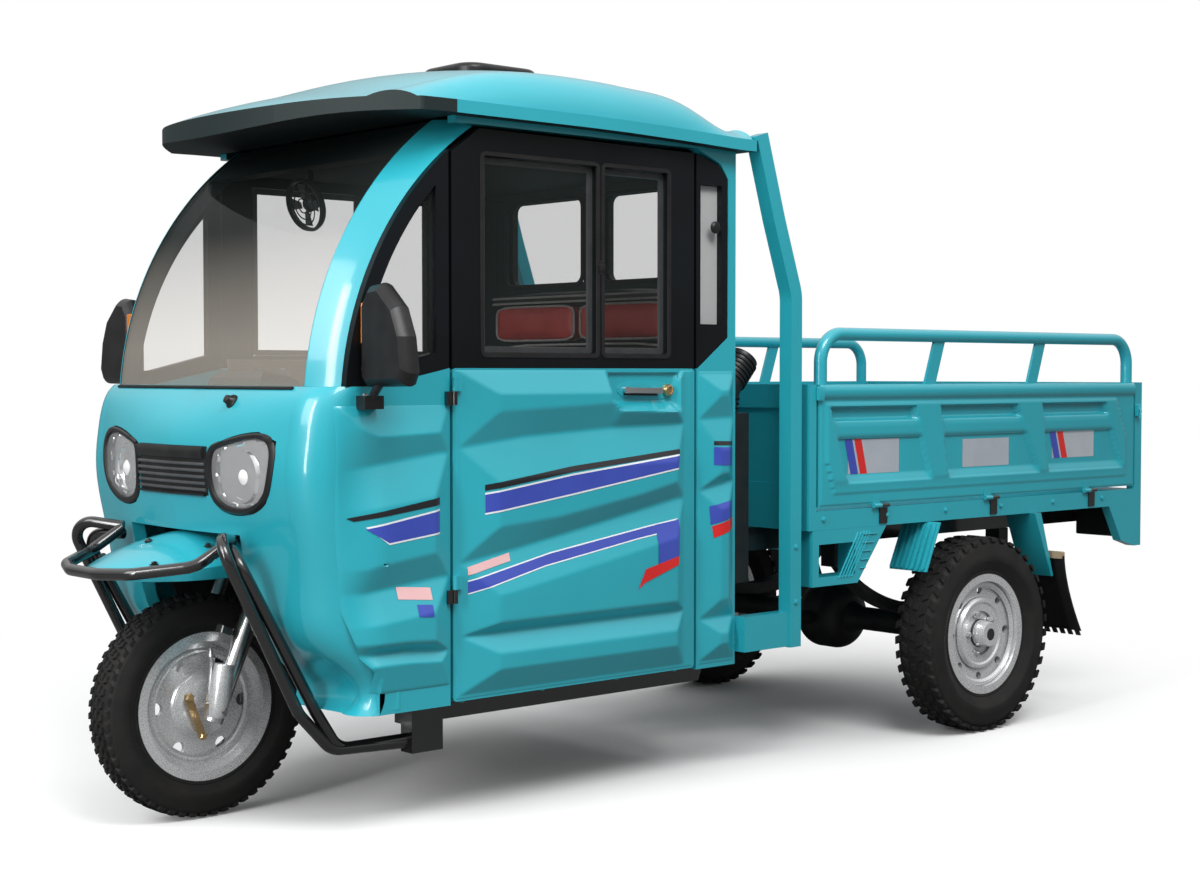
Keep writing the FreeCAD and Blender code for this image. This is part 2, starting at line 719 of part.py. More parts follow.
def make_wheel_well():
    """Inner liner that closes the cab from the front wheel."""
    sheet_, half = D.well_sheet, D.well_half_width
    rear, top = D.well_rear_x, D.well_top_height
    front = D.cowl_x - 36
    foot = D.cab_floor_height + D.floor_sheet
    body = new_body("wheel_well")
    outline(base := new_sketch(body, "XZ_Plane"), [
        (rear, foot), (rear + sheet_, foot), (rear + sheet_, top - sheet_), (front, top - sheet_),
        (front, top), (rear, top)])
    pad(body, base, 2 * half, midplane=True)
    for side in (1, -1):
        wall = new_sketch(body, "XZ_Plane", -side * (half - sheet_ / 2))
        outline(wall, [(rear, foot), (D.nose_seam_x, foot), (front - 20, top - 150), (front, top),
                       (rear, top)])
        pad(body, wall, sheet_, midplane=True)
    hole = new_sketch(body, "XY_Plane", top + 20)
    level = (float(top) - FORK_BASE.z) / math.cos(RAKE)
    disc(hole, FORK_BASE.x - level * math.sin(RAKE), 0, D.head_tube_radius + 6)
    pocket(body, hole, 60)
    keep("wheel_well", place(body))


def make_floor():
    """Cab floor with side sills and the opening over the engine."""
    half = D.cab_half_width - D.wall - D.seam
    low, rear = D.cab_floor_height, D.cab_rear_x + D.wall + D.seam
    body = new_body("cab_floor")
    rectangle(base := new_sketch(body, "XY_Plane", low), rear, -half, D.well_rear_x + D.well_sheet,
              half)
    pad(body, base, D.floor_sheet)
    gap = D.engine_gap
    rectangle(hole := new_sketch(body, "XY_Plane", low + D.floor_sheet),
              D.engine_front_x - D.engine_length - gap, -D.engine_half_width - gap,
              D.engine_front_x + gap, D.engine_half_width + gap)
    pocket(body, hole, 2 * D.floor_sheet)
    for side in (1, -1):
        inner, outer = side * (D.well_half_width + D.seam), side * half
        rectangle(wing := new_sketch(body, "XY_Plane", low), D.well_rear_x,
                  inner if side > 0 else outer, D.nose_seam_x - 24,
                  outer if side > 0 else inner)
        pad(body, wing, D.floor_sheet)
    keep("cab_floor", place(body))


def screen_circle(set_back):
    """Centre and radius of the pillars' side profile, set back from its middle line."""
    foot = Vector(float(D.screen_foot_x), float(D.cowl_height), 0)
    head = Vector(float(D.screen_top_x), float(SCREEN_TOP), 0)
    chord = head - foot
    bow = float(D.screen_bow)
    radius = ((chord.Length / 2) ** 2 + bow ** 2) / (2 * bow)
    side = Vector(chord.y, -chord.x, 0).normalize()
    return (foot + head) * 0.5 - side * (radius - bow), radius - float(set_back)


def screen_x(set_back, height):
    """Station of the profile at one height."""
    centre, radius = screen_circle(set_back)
    return size(centre.x + math.sqrt(radius ** 2 - (float(height) - centre.y) ** 2))


def screen_height(set_back, station):
    """Height of the profile at one station."""
    centre, radius = screen_circle(set_back)
    return size(centre.y + math.sqrt(radius ** 2 - (float(station) - centre.x) ** 2))


def screen_bow(set_back, first, last):
    """Sagitta of the profile between two points on it."""
    radius = screen_circle(set_back)[1]
    half = math.hypot(float(first[0] - last[0]), float(size(first[1]) - last[1])) / 2
    return radius - math.sqrt(radius ** 2 - half ** 2)


def screen_strip(front, back):
    """Closed side outline of a sheet between two set-backs, from cowl to header."""
    low, high = D.cowl_height + D.seam, SCREEN_TOP
    a, b = (screen_x(front, low), low), (screen_x(front, high), high)
    c, d = (screen_x(back, high), high), (screen_x(back, low), low)
    return [a + (screen_bow(front, a, b),), b, c + (-screen_bow(back, c, d),), d]


def pillar_shape():
    """Left pillar: its section, turned back towards the door, swung up the profile."""
    centre, radius = screen_circle(0)
    low, high = D.cowl_height + D.seam, PILLAR_TOP
    margin = 40
    first = math.asin((float(low) - margin - centre.y) / radius)
    last = math.asin((float(high) + margin - centre.y) / radius)

    def corner(set_back, y):
        reach = radius - float(set_back)
        return vec(centre.x + reach * math.cos(first), y, centre.y + reach * math.sin(first))
    front, back = -D.pillar_front, D.pillar_back
    a, b = corner(front, D.pillar_inner), corner(front, D.pillar_inner + 3)
    c, d = corner(back, D.pillar_outer), corner(back, D.pillar_inner)
    bulge = corner((front + back) / 2 - 2, (D.pillar_inner + 3 + D.pillar_outer) / 2 + 1.5)
    edges = [Part.LineSegment(a, b).toShape(), Part.Arc(b, bulge, c).toShape(),
             Part.LineSegment(c, d).toShape(), Part.LineSegment(d, a).toShape()]
    swung = Part.Face(Part.Wire(edges)).revolve(vec(centre.x, 0, centre.y), -Y,
                                                math.degrees(last - first))
    slab = bar((-900, 0, low), (200, D.cab_half_width, high))
    rail_end = bar((-900, D.cab_half_width - D.wall - D.seam, WINDOW_TOP + D.door_foot_gap),
                   (D.screen_top_x - 6 + D.seam, D.cab_half_width + 1, high + 1))
    return swung.common(slab).cut(rail_end)


def make_pillars():
    """Windscreen pillars joined by the header under the visor."""
    left = coded("pillar_left", pillar_shape())
    side = new_body("header")
    front, back = -D.pillar_front + 5, D.pillar_back
    low, high = SCREEN_TOP - D.header_depth, PILLAR_TOP
    sketch = new_sketch(side, "XZ_Plane")
    outline(sketch, [(screen_x(front, high), high), (screen_x(back, high), high),
                     (screen_x(back, low), low), (screen_x(front, low), low)])
    pad(side, sketch, 2 * D.pillar_inner, midplane=True)
    glass = new_body("header_rebate")
    sketch = new_sketch(glass, "XZ_Plane")
    outline(sketch, screen_strip(-D.pillar_back, -D.screen_lead + D.screen_glass + D.seam))
    pad(glass, sketch, 2 * D.pillar_inner, midplane=True)
    header = cut("header_rebated", place(side), [place(glass)])
    shape = fuse("pillar_frame", [left, mirrored(left, "pillar_right"), header])
    keep("windscreen_frame", shape)


def make_windscreen():
    body = new_body("windscreen")
    sketch = new_sketch(body, "XZ_Plane")
    outline(sketch, screen_strip(-D.screen_lead, D.screen_glass - D.screen_lead))
    pad(body, sketch, 2 * (D.pillar_inner - D.seam), midplane=True)
    keep("windscreen", place(body))


def make_front_quarters():
    """Lower side panels between the nose and the doors, and their window frames."""
    inner = D.cab_half_width - D.wall
    front, rear = D.nose_seam_x - D.seam, D.door_front_x + D.door_gap
    low = D.cab_floor_height
    panel = side_pad("front_quarter_panel", [
        (rear, low), (front, low), (front, D.cowl_height), (rear, D.belt_height)],
        inner, D.wall)
    press(panel, NOSE_GROOVES, D.cab_half_width, D.groove_depth)
    pair("front_quarter_panels", panel)


def quarter_points(inset):
    """Front quarter window in side view: curved along the pillar, upright at the door."""
    inset = size(inset)
    set_back = D.pillar_back + D.seam + inset
    rear = D.door_front_x + D.door_gap + inset
    foot = D.cowl_height + D.seam + inset
    low, high = (screen_x(set_back, foot), foot), (rear, screen_height(set_back, rear))
    return [low + (screen_bow(set_back, low, high),), high, (rear, D.belt_height + D.seam + inset),
            (D.nose_seam_x + inset * 0.2, foot)]


def make_quarter_windows():
    depth = D.window_frame_depth
    low_y = D.cab_half_width - D.wall + 2
    frame = new_body("quarter_frame_front")
    outline(base := new_sketch(frame, "XZ_Plane", -low_y - depth), quarter_points(0))
    pad(frame, base, depth)
    outline(hole := new_sketch(frame, "XZ_Plane", -low_y - depth - 5), quarter_points(D.frame_border))
    pocket(frame, hole, depth + 10, back=True)
    place(frame)
    pane = new_body("quarter_pane_front")
    middle = low_y + (depth - D.glass_thickness) / 2
    outline(base := new_sketch(pane, "XZ_Plane", -middle - D.glass_thickness),
            quarter_points(D.frame_border + D.trim_gap))
    pad(pane, base, D.glass_thickness)
    place(pane)
    rear, front = D.cab_rear_x + D.rear_post_width + D.seam, D.door_rear_x - D.door_gap - D.seam
    cut_back = D.quarter_chamfer
    foot, top = D.belt_height + D.seam, WINDOW_TOP
    rear_frame = side_pad("quarter_frame_rear", [
        (front, foot), (front, top - 4), (rear + 26, top - 30), (rear, top - 60),
        (rear, foot + cut_back), (front - 4, foot)], low_y, depth)
    low_u, high_u = rear + 20, front - 14
    rectangle(hole := new_sketch(rear_frame, "XZ_Plane", -low_y - depth - 5),
              low_u, D.pane_foot + cut_back, high_u, PANE_TOP - 20)
    pocket(rear_frame, hole, depth + 10, back=True)
    gap = D.trim_gap
    rear_pane = side_pad("quarter_pane_rear", [
        (low_u + gap, D.pane_foot + cut_back + gap), (high_u - gap, D.pane_foot + cut_back + gap),
        (high_u - gap, PANE_TOP - 20 - gap), (low_u + gap, PANE_TOP - 20 - gap)],
        middle, D.glass_thickness)
    frames = [frame, rear_frame]
    panes = [pane, rear_pane]
    for label, halves in (("quarter_window_frames", frames), ("quarter_glass", panes)):
        others = [mirrored(item, item.Name + "_right") for item in halves]
        keep(label, grouped(label, halves + others))


def make_side_frames():
    """Roof rail over the door, rear post and lower rear quarter as one pressing."""
    inner = D.cab_half_width - D.wall
    rear, post = D.cab_rear_x, D.cab_rear_x + D.rear_post_width
    front = D.door_rear_x - D.door_gap
    top, under = D.rim_height - 14, WINDOW_TOP + D.door_foot_gap
    hx = D.screen_top_x - 6
    frame = side_pad("side_frame", [
        (front, D.cab_floor_height), (front, D.belt_height), (front - 4, D.belt_height),
        (post, D.belt_height + D.quarter_chamfer), (post, WINDOW_TOP - 60),
        (post + 26, WINDOW_TOP - 24), (front, under + 2), (hx, under + 2), (hx, top), (rear, top),
        (rear, D.cab_floor_height)], inner, D.wall)
    press(frame, REAR_GROOVES, D.cab_half_width, D.groove_depth)
    pair("side_frames", frame)


def make_rear_wall():
    half = D.cab_half_width - D.wall - D.seam
    rear = D.cab_rear_x
    body = new_body("rear_wall")
    rectangle(base := new_sketch(body, "YZ_Plane", rear), -half, D.cab_floor_height, half,
              D.rim_height - 14)
    pad(body, base, D.wall)
    rectangle(hole := new_sketch(body, "YZ_Plane", rear - 5), -D.rear_window_half,
              REAR_WINDOW_FOOT, D.rear_window_half, REAR_WINDOW_TOP)
    pocket(body, hole, D.wall + 10, back=True)
    keep("rear_wall", place(body))
    glass = new_body("rear_glass")
    half = D.rear_window_half - D.trim_gap
    rectangle(base := new_sketch(glass, "YZ_Plane", rear + D.wall / 2), -half,
              REAR_WINDOW_FOOT + D.trim_gap, half, REAR_WINDOW_TOP - D.trim_gap)
    pad(glass, base, D.glass_thickness)
    keep("rear_glass", place(glass))


# Roof
def roof_section(body, x, rim, crown, hollow=False):
    """Cross-section of the roof at one station, with the rain step at its edge."""
    half, low, thick, edge = D.roof_half_width, rim - D.roof_skirt, size(0), rim
    if hollow:
        half, low, thick = D.cab_half_width + D.seam, rim - D.roof_skirt - 30, D.roof_wall
        edge = rim + 8
    step = half - D.rain_step
    shoulder = D.shoulder_half - thick * 0.6
    drop = crown - thick - D.crown_drop
    side_bow = (crown - rim) * 0.16 + 1
    sketch = new_sketch(body, "YZ_Plane", x)
    return outline(sketch, [
        (-half, low), (half, low), (half, edge), (step, edge, side_bow),
        (shoulder, drop, D.crown_drop), (-shoulder, drop, side_bow), (-step, edge),
        (-half, edge)])


def make_roof():
    form = new_body("roof_form")
    crown, rim = CROWN, D.rim_height
    rear, tip = D.roof_rear_x, D.visor_x
    rows = [
        # station, fall of the rim and of the crown there
        (rear, 12, 80), (rear + 93, 11, 74), (rear + 173, 8, 32), (rear + 273, 5, 10),
        (rear + 453, 1, 1), (rear + 653, 0, 2), (tip - 430, 0, 19), (tip - 300, 0, 52),
        (tip - 180, 1, 88), (tip - 80, 7, 116), (tip - 40, 16, 130), (tip + 12, 32, 150),
    ]
    loft(form, [roof_section(form, x, rim - fall, crown - sink) for x, fall, sink in rows])
    place(form)
    hollow = new_body("roof_hollow")
    inner = [(rear + D.roof_wall,) + rows[0][1:]] + rows[1:7] + [(tip - 328, 0, 43)]
    loft(hollow, [roof_section(hollow, x, rim - fall, crown - sink, True) for x, fall, sink in inner])
    place(hollow)
    plan = new_body("roof_plan")
    half, tip, edge = D.roof_half_width + 20, D.visor_x, D.roof_half_width
    shoulder, wing = tip - D.visor_bow, tip - D.visor_sweep
    sketch = new_sketch(plan, "XY_Plane", D.rim_height - 150)
    outline(sketch, [
        (D.roof_rear_x - 20, -half), (wing - 14, -half), (wing - 14, -edge, 3), (wing, 10 - edge, 14),
        (shoulder, -D.visor_shoulder, D.visor_bow), (shoulder, D.visor_shoulder, 14),
        (wing, edge - 10, 3), (wing - 14, edge), (wing - 14, half), (D.roof_rear_x - 20, half)])
    pad(plan, sketch, 400)
    place(plan)
    shell = cut("roof_shell", form, [hollow])
    keep("roof", common("roof", shell, plan))


def make_vent():
    """Low round-cornered hatch on the crown."""
    body = new_body("roof_vent")
    x, long_, wide = D.vent_x, D.vent_length / 2, D.vent_width / 2
    low = CROWN + D.seam
    rectangle(base := new_sketch(body, "XY_Plane", low), x - long_, -wide, x + long_, wide)
    high = VENT_TOP - low
    pad(body, base, high)
    rounded(body, D.vent_width / 4, along(Z))
    top = float(VENT_TOP)
    rounded(body, D.vent_rise / 3, lambda edge: abs(edge.CenterOfMass.z - top) < 1)
    keep("roof_vent", place(body))


# Doors
HINGES = []


def make_doors():
    inner = D.cab_half_width - D.wall
    front, rear = D.door_front_x, D.door_rear_x
    foot = D.cab_floor_height + D.door_foot_gap
    body = new_body("door_panel_left")
    rectangle(base := new_sketch(body, "XZ_Plane", -D.cab_half_width), rear, foot, front,
              D.belt_height)
    pad(body, base, D.wall)
    rounded(body, 10, along(Y))
    press(body, DOOR_GROOVES, D.cab_half_width, D.groove_depth)
    press(body, [HANDLE_CUP], D.cab_half_width, D.cup_depth)
    place(body)
    pivot_x, pivot_y = front + 2, D.cab_half_width + D.hinge_radius + 5
    knuckles = []
    for z in (D.belt_height - 50, size(530)):
        knuckles.append(door_knuckle(pivot_x, pivot_y, z + D.seat_gap, -1))
    shape = fuse("door_left_welded", [body] + knuckles)
    left_and_right("door_panel", shape)
    pins = []
    for z in (D.belt_height - 50, size(530)):
        pins.append(door_knuckle(pivot_x, pivot_y, z - D.hinge_length / 2, 1))
    HINGES.extend(pins + [mirrored(item, item.Name + "_right") for item in pins])
    low_y, depth = inner + 2, D.window_frame_depth
    top = WINDOW_TOP
    clear = D.pillar_back + D.door_gap
    frame = side_pad("door_frame_solid", [
        (rear, D.belt_height + D.seam), (front, D.belt_height + D.seam),
        (front, screen_height(clear, front)), (screen_x(clear, top), top), (rear, top - 4)],
        low_y, depth)
    panes = []
    gap = D.trim_gap
    for low_u, high_u in ((D.front_pane_end_x, D.front_pane_x), (D.rear_pane_end_x, D.rear_pane_x)):
        rectangle(hole := new_sketch(frame, "XZ_Plane", -low_y - depth - 5), low_u, D.pane_foot,
                  high_u, PANE_TOP)
        pocket(frame, hole, depth + 10, back=True)
        panes.append(side_pad("door_pane", [
            (low_u + gap, D.pane_foot + gap), (high_u - gap, D.pane_foot + gap),
            (high_u - gap, PANE_TOP - gap), (low_u + gap, PANE_TOP - gap)],
            low_y + (depth - D.glass_thickness) / 2, D.glass_thickness))
    left_and_right("door_window_frame", frame)
    left_and_right("door_glass", grouped("door_panes", panes))


def door_knuckle(x, y, low, side):
    """One half of a hinge: its barrel and the leaf that reaches in to the panel."""
    half = D.hinge_length / 2
    barrel = Part.makeCylinder(float(D.hinge_radius), float(half - D.seat_gap), vec(x, y, low))
    reach = (size(0), size(20)) if side > 0 else (size(-20), size(0))
    leaf = bar((x + reach[0], D.cab_half_width, low), (x + reach[1], y, low + half - D.seat_gap))
    return coded("hinge_half", barrel.fuse(leaf).removeSplitter())


# Front guard bars and mudguard
def make_crash_bar():
    r = D.bar_tube_radius
    front, half, z = D.front_reach - r, D.hoop_half_width, D.hoop_height
    left = [vec(60, half + 4, z + 62), vec(140, half + 2, z + 14), vec(front - 33, 150, z - 2),
            vec(front, 62, z - 6)]
    right = [vec(point.x, -point.y, point.z) for point in reversed(left)]
    shapes = [round_tube(left + right, r, 55)]
    for side in (1, -1):
        y = side * D.loop_y
        for set_back in (size(0), D.loop_spacing):
            loop = [vec(56, side * (half + 4), z + 66 - set_back * 0.4),
                    vec(148 - set_back, y, z + 84 - set_back * 0.9),
                    vec(-48 - set_back, y, 270), vec(-130 - set_back * 0.4, y, 182),
                    vec(-330, y + side * 40, 182 + set_back * 0.2)]
            shapes.append(round_tube(loop, r, 50))
        foot = bar((-385, min(float(y + side * 20), float(y + side * 62)), 160),
                   (-300, max(float(y + side * 20), float(y + side * 62)), D.cab_floor_height - D.seam))
        shapes.append(foot)
    shape = shapes[0].fuse(shapes[1:])
    keep("crash_bar", coded("crash_bar", shape))


def make_mudguard():
    outer = new_body("mudguard_form")
    low, crown, half = D.guard_rim_height, D.guard_crown_height, D.guard_half_width
    tip = D.guard_tip_x
    rows = [(size(-40), half, crown + 6), (size(60), half, crown), (size(150), half - 12, crown - 26),
            (tip - 30, half - 70, crown - 52), (tip, size(36), low + 22)]

    def arch(body, x, width, top, thick=0):
        sketch = new_sketch(body, "YZ_Plane", x)
        w, rise = size(width) - thick, size(top) - low
        foot, eave = low - size(thick) * 2, low + rise * 0.3 - thick
        return outline(sketch, [(-w, foot), (w, foot), (w, eave, rise * 0.68), (-w, eave)])
    loft(outer, [arch(outer, *row) for row in rows])
    inner = [(x, w, z, D.guard_sheet) for x, w, z in rows]
    inner[0] = (size(-45),) + inner[0][1:]
    inner[-1] = (tip - 6,) + inner[-1][1:]
    loft(outer, [arch(outer, *row) for row in inner], cut=True)
    keep("front_mudguard", place(outer))


# Load bed
def make_bed_floor():
    half = D.bed_half_width
    front, rear = D.bed_front_x - D.headboard_depth, D.bed_rear_x
    low, high = D.bed_frame_foot, D.bed_floor_height
    body = new_body("bed_floor")
    rectangle(base := new_sketch(body, "XY_Plane", low), rear, -half, front, half)
    pad(body, base, high - low)
    bays, beam = 4, 45
    pitch = (front - rear - beam) / bays
    for row in range(bays):
        start = rear + beam + pitch * row
        rectangle(hole := new_sketch(body, "XY_Plane", low), start, -half + beam,
                  start + pitch - beam, half - beam)
        pocket(body, hole, high - low - D.bed_sheet, back=True)
    place(body)
    left = side_pad("rear_post", [
        (rear - D.post_width, D.post_foot), (rear - D.post_width, D.side_height),
        (rear, D.side_height), (rear, low), (rear + 135, low), (rear + 70, D.post_foot + 20),
        (rear, D.post_foot)], half - D.side_depth, D.side_depth)
    shape = fuse("bed_frame", [body, left, mirrored(left, "rear_post_right")])
    keep("bed_floor", shape)


def make_headboard():
    half = D.bed_half_width
    front = D.bed_front_x
    body = new_body("headboard")
    rectangle(base := new_sketch(body, "YZ_Plane", front - D.headboard_depth), -half,
              D.bed_frame_foot, half, D.side_height)
    pad(body, base, D.headboard_depth)
    upright_bays(body, front, half, False)
    keep("bed_headboard", place(body))


def rail_hoop(front, rear):
    """Bent tube over a drop side with two flat leaning struts."""
    y = D.bed_half_width - D.side_depth / 2
    low, top = D.side_height - 20, D.hoop_top_height
    points = [vec(front, y, low), vec(front, y, top), vec(rear, y, top), vec(rear, y, low)]
    tube = round_tube(points, D.rail_radius, D.hoop_bend)
    struts = []
    third = (front - rear) / 3
    for number in (1, 2):
        x = front - third * number
        lean = -52
        corners = [vec(x - lean, y - D.strut_depth / 2, low), vec(x, y - D.strut_depth / 2, top),
                   vec(x - D.strut_width, y - D.strut_depth / 2, top),
                   vec(x - lean - D.strut_width, y - D.strut_depth / 2, low)]
        face = Part.Face(Part.makePolygon(corners + [corners[0]]))
        struts.append(face.extrude(vec(0, D.strut_depth, 0)))
    return coded("rail_hoop", tube.fuse(struts))


# Leaning bays pressed into a drop side: front and rear edge at the top, then at the foot
SIDE_BAYS = [(-1521, -1867, -1587, -1936), (-1970, -2322, -2006, -2430), (-2438, -2764, -2469, -2853)]
BAY_TOP, BAY_FOOT = 911, 716


def bay_part(bay, start, stop):
    """Part of a leaning bay between two shares of its height, counted from the top."""
    def level(share):
        front = bay[0] + (bay[2] - bay[0]) * share
        rear = bay[1] + (bay[3] - bay[1]) * share
        return front, rear, BAY_TOP + (BAY_FOOT - BAY_TOP) * share
    front, rear, high = level(start)
    low_front, low_rear, low = level(stop)
    return [(rear, high), (low_rear, low), (low_front, low), (front, high)]


def upright_bays(body, face_x, half, back):
    """Three rectangular pressings across a headboard or tailgate."""
    rib = 44
    wide = (2 * half - 4 * rib) / 3
    for number in range(3):
        left = rib - half + (wide + rib) * number
        rectangle(sketch := new_sketch(body, "YZ_Plane", face_x), left, BAY_FOOT, left + wide, BAY_TOP)
        pocket(body, sketch, D.bay_depth, back=back)


def make_drop_sides():
    half, depth = D.bed_half_width, D.side_depth
    front = D.bed_front_x - D.headboard_depth - D.move_gap
    rear = D.bed_rear_x + D.move_gap
    panel = side_pad("drop_panel", [(rear, D.side_foot), (front, D.side_foot),
                                    (front, D.side_height), (rear, D.side_height)],
                     half - depth, depth)
    press(panel, [bay_part(bay, 0.41, 1) for bay in SIDE_BAYS], half, D.bay_depth)
    press(panel, [bay_part(bay, 0, 0.165) for bay in SIDE_BAYS], half, D.slot_depth)
    hoop = rail_hoop(front - 22, rear + 22)
    barrels, pins = [], []
    z, y, r = D.side_foot - D.hinge_drop, half + D.hinge_radius + 1, D.hinge_radius
    count = 3
    pitch = (front - rear) / count
    for number in range(count):
        x = rear + pitch * (number + 0.5)
        barrels.append(bed_knuckle(x, y, z, 1, D.side_foot + 22))
        pins.append(bed_knuckle(x - D.hinge_length / 2 - D.seat_gap, y, z, -1, D.bed_frame_foot + 6))
    shape = fuse("drop_side_solid", [panel, hoop] + barrels)
    left_and_right("drop_side", shape)
    HINGES.extend(pins + [mirrored(item, item.Name + "_right") for item in pins])


def bed_knuckle(x, y, z, side, reach):
    """Half of a drop-side hinge with a strap that lies on the panel above or beam below."""
    half = D.hinge_length / 2
    barrel = Part.makeCylinder(float(D.hinge_radius), float(half), vec(x, y, z), X)
    low, high = (size(z), size(reach)) if side > 0 else (size(reach), size(z))
    strap = bar((x, D.bed_half_width, low), (x + half, D.bed_half_width + 4, high))
    link = bar((x, D.bed_half_width + 1, z - 3), (x + half, y, z + 3))
    return coded("bed_hinge_half", barrel.fuse([strap, link]).removeSplitter())


def make_tailgate():
    inner = D.bed_half_width - D.side_depth - D.move_gap
    face = TAILGATE_FACE + D.tailgate_depth
    body = new_body("tailgate_panel")
    rectangle(base := new_sketch(body, "YZ_Plane", face - D.tailgate_depth), -inner, D.side_foot,
              inner, D.side_height)
    pad(body, base, D.tailgate_depth)
    upright_bays(body, face - D.tailgate_depth, inner, True)
    place(body)
    outer = face - D.tailgate_depth
    x, z, half = outer - D.hinge_radius - 1, D.side_foot - D.hinge_drop, D.hinge_length / 2
    barrels, pins = [], []
    for centre in (-320, 0, 320):
        for items, start, high in ((barrels, size(centre), D.side_foot + 22),
                                   (pins, size(centre) - half - D.seat_gap, None)):
            barrel = Part.makeCylinder(float(D.hinge_radius), float(half), vec(x, start, z), Y)
            if high:
                strap = bar((outer - 4, start, z), (outer, start + half, high))
            else:
                strap = bar((outer - 4, start, D.bed_frame_foot + 4), (outer, start + half, z))
                arm = bar((outer - 1, start, D.bed_frame_foot + 4),
                          (D.bed_rear_x, start + half, D.bed_frame_foot + 16))
                strap = strap.fuse(arm)
            link = bar((x, start, z - 3), (outer - 1, start + half, z + 3))
            items.append(coded("gate_hinge_half", barrel.fuse([strap, link]).removeSplitter()))
    keep("tailgate", fuse("tailgate_solid", [body] + barrels))
    keep("panel_hinges", grouped("panel_hinges", HINGES + pins))


# Guard posts and chassis
def make_guard_posts():
    y, w = D.guard_y, D.guard_tube
    points = [vec(D.roof_rear_x - 20, y, D.rim_height + 4), vec(D.guard_x + 64, y, D.rim_height - 202),
              vec(D.guard_x, y, D.rim_height - 387), vec(D.guard_x, y, D.guard_foot)]
    post = coded("guard_post", square_tube(points, w, D.guard_bend))
    beam = coded("sill_beam", bar((D.guard_x, y - w / 2, D.sill_beam_foot),
                                  (D.cab_rear_x - D.seam, y + w / 2 - 5, D.sill_beam_top)))
    pair("guard_posts", fuse("guard_post_welded", [post, beam]))


def make_chassis():
    """Two rails that kick up behind the cab, with cross members."""
    low, high = D.rail_low, D.rail_high
    top, end = low + D.rail_low_height, high + D.rail_high_height
    front, rear = D.well_rear_x - 10, D.bed_rear_x + 20
    rail = side_pad("chassis_rail", [
        (front, low), (front, top), (D.kick_front_x, top), (D.kick_rear_x, end), (rear, end),
        (rear, high), (D.kick_rear_x + 25, high), (D.kick_front_x - 5, low)],
        D.rail_y - D.rail_width / 2, D.rail_width)
    span = D.rail_y - D.rail_width / 2 + 1
    crosses = []
    deep = D.cross_height
    for x in (front - 60, D.engine_front_x - 60, D.engine_front_x - D.engine_length + 60):
        crosses.append(box("cross_member", (x - D.cross_width, -span, low), (x, span, low + deep)))
    for x in (D.kick_rear_x - 40, size(-1800), size(-2350), rear + 80):
        crosses.append(box("cross_member", (x - D.cross_width, -span, high + 10),
                           (x, span, high + 10 + deep)))
    shape = fuse("chassis", [rail, mirrored(rail, "chassis_rail_right")] + crosses)
    keep("chassis_frame", shape)


def make_driveline():
    foot = D.rail_low + D.cross_height + D.seam
    rear = D.engine_front_x - D.engine_length
    keep("engine_block", box("engine_block", (rear, -D.engine_half_width, foot),
                             (D.engine_front_x, D.engine_half_width, foot + D.engine_height)))
    height = D.cab_floor_height - D.shaft_radius - 6
    start, stop = vec(rear - 0.8, 0, height), vec(-D.wheelbase + D.diff_radius + 1, 0, D.rear_tyre_radius)
    axis = stop - start
    shaft = Part.makeCylinder(float(D.shaft_radius), axis.Length, start, axis)
    keep("drive_shaft", coded("drive_shaft", shaft))
    body = new_body("rear_axle")
    sketch = new_sketch(body, "YZ_Plane")
    tube, half = D.axle_tube_radius, D.axle_tube_half
    reach = D.rear_track / 2 + D.rear_hub_outer
    collar = D.rear_track / 2 - D.rear_hub_inner - D.seat_gap
    outline(sketch, [(-reach, 0), (reach, 0), (reach, D.rear_spindle_radius),
                     (collar, D.rear_spindle_radius), (collar, tube), (D.diff_half + 40, tube),
                     (D.diff_half, tube + 14, 12), (30, D.diff_radius), (-30, D.diff_radius, 12),
                     (-D.diff_half, tube + 14), (-D.diff_half - 40, tube), (-collar, tube),
                     (-collar, D.rear_spindle_radius), (-reach, D.rear_spindle_radius)])
    turned(body, sketch, "H_Axis")
    keep("rear_axle", place(body, -D.wheelbase, 0, D.rear_tyre_radius))


def make_springs():
    """Leaf packs under the rails, arched down to the axle, with their hangers."""
    x, reach, thick = -D.wheelbase, D.spring_half_length, D.spring_pack
    eye = D.rail_high - 40
    seat = D.rear_tyre_radius + D.axle_tube_radius + D.seam
    sag = eye - seat - thick / 2
    leaf = side_pad("leaf_pack", [
        (x - reach, eye - 8, sag + 8), (x + reach, eye - 8), (x + reach, eye, -(sag - thick + 16)),
        (x - reach, eye)], D.rail_y - D.spring_width / 2, D.spring_width)
    hangers = []
    for end in (x - reach, x + reach):
        hangers.append(box("spring_hanger", (end - 22, D.rail_y - D.spring_width / 2, eye - 26),
                           (end + 22, D.rail_y + D.spring_width / 2, D.rail_high - D.seam)))
    pair("leaf_springs", fuse("spring_set", [leaf] + hangers))


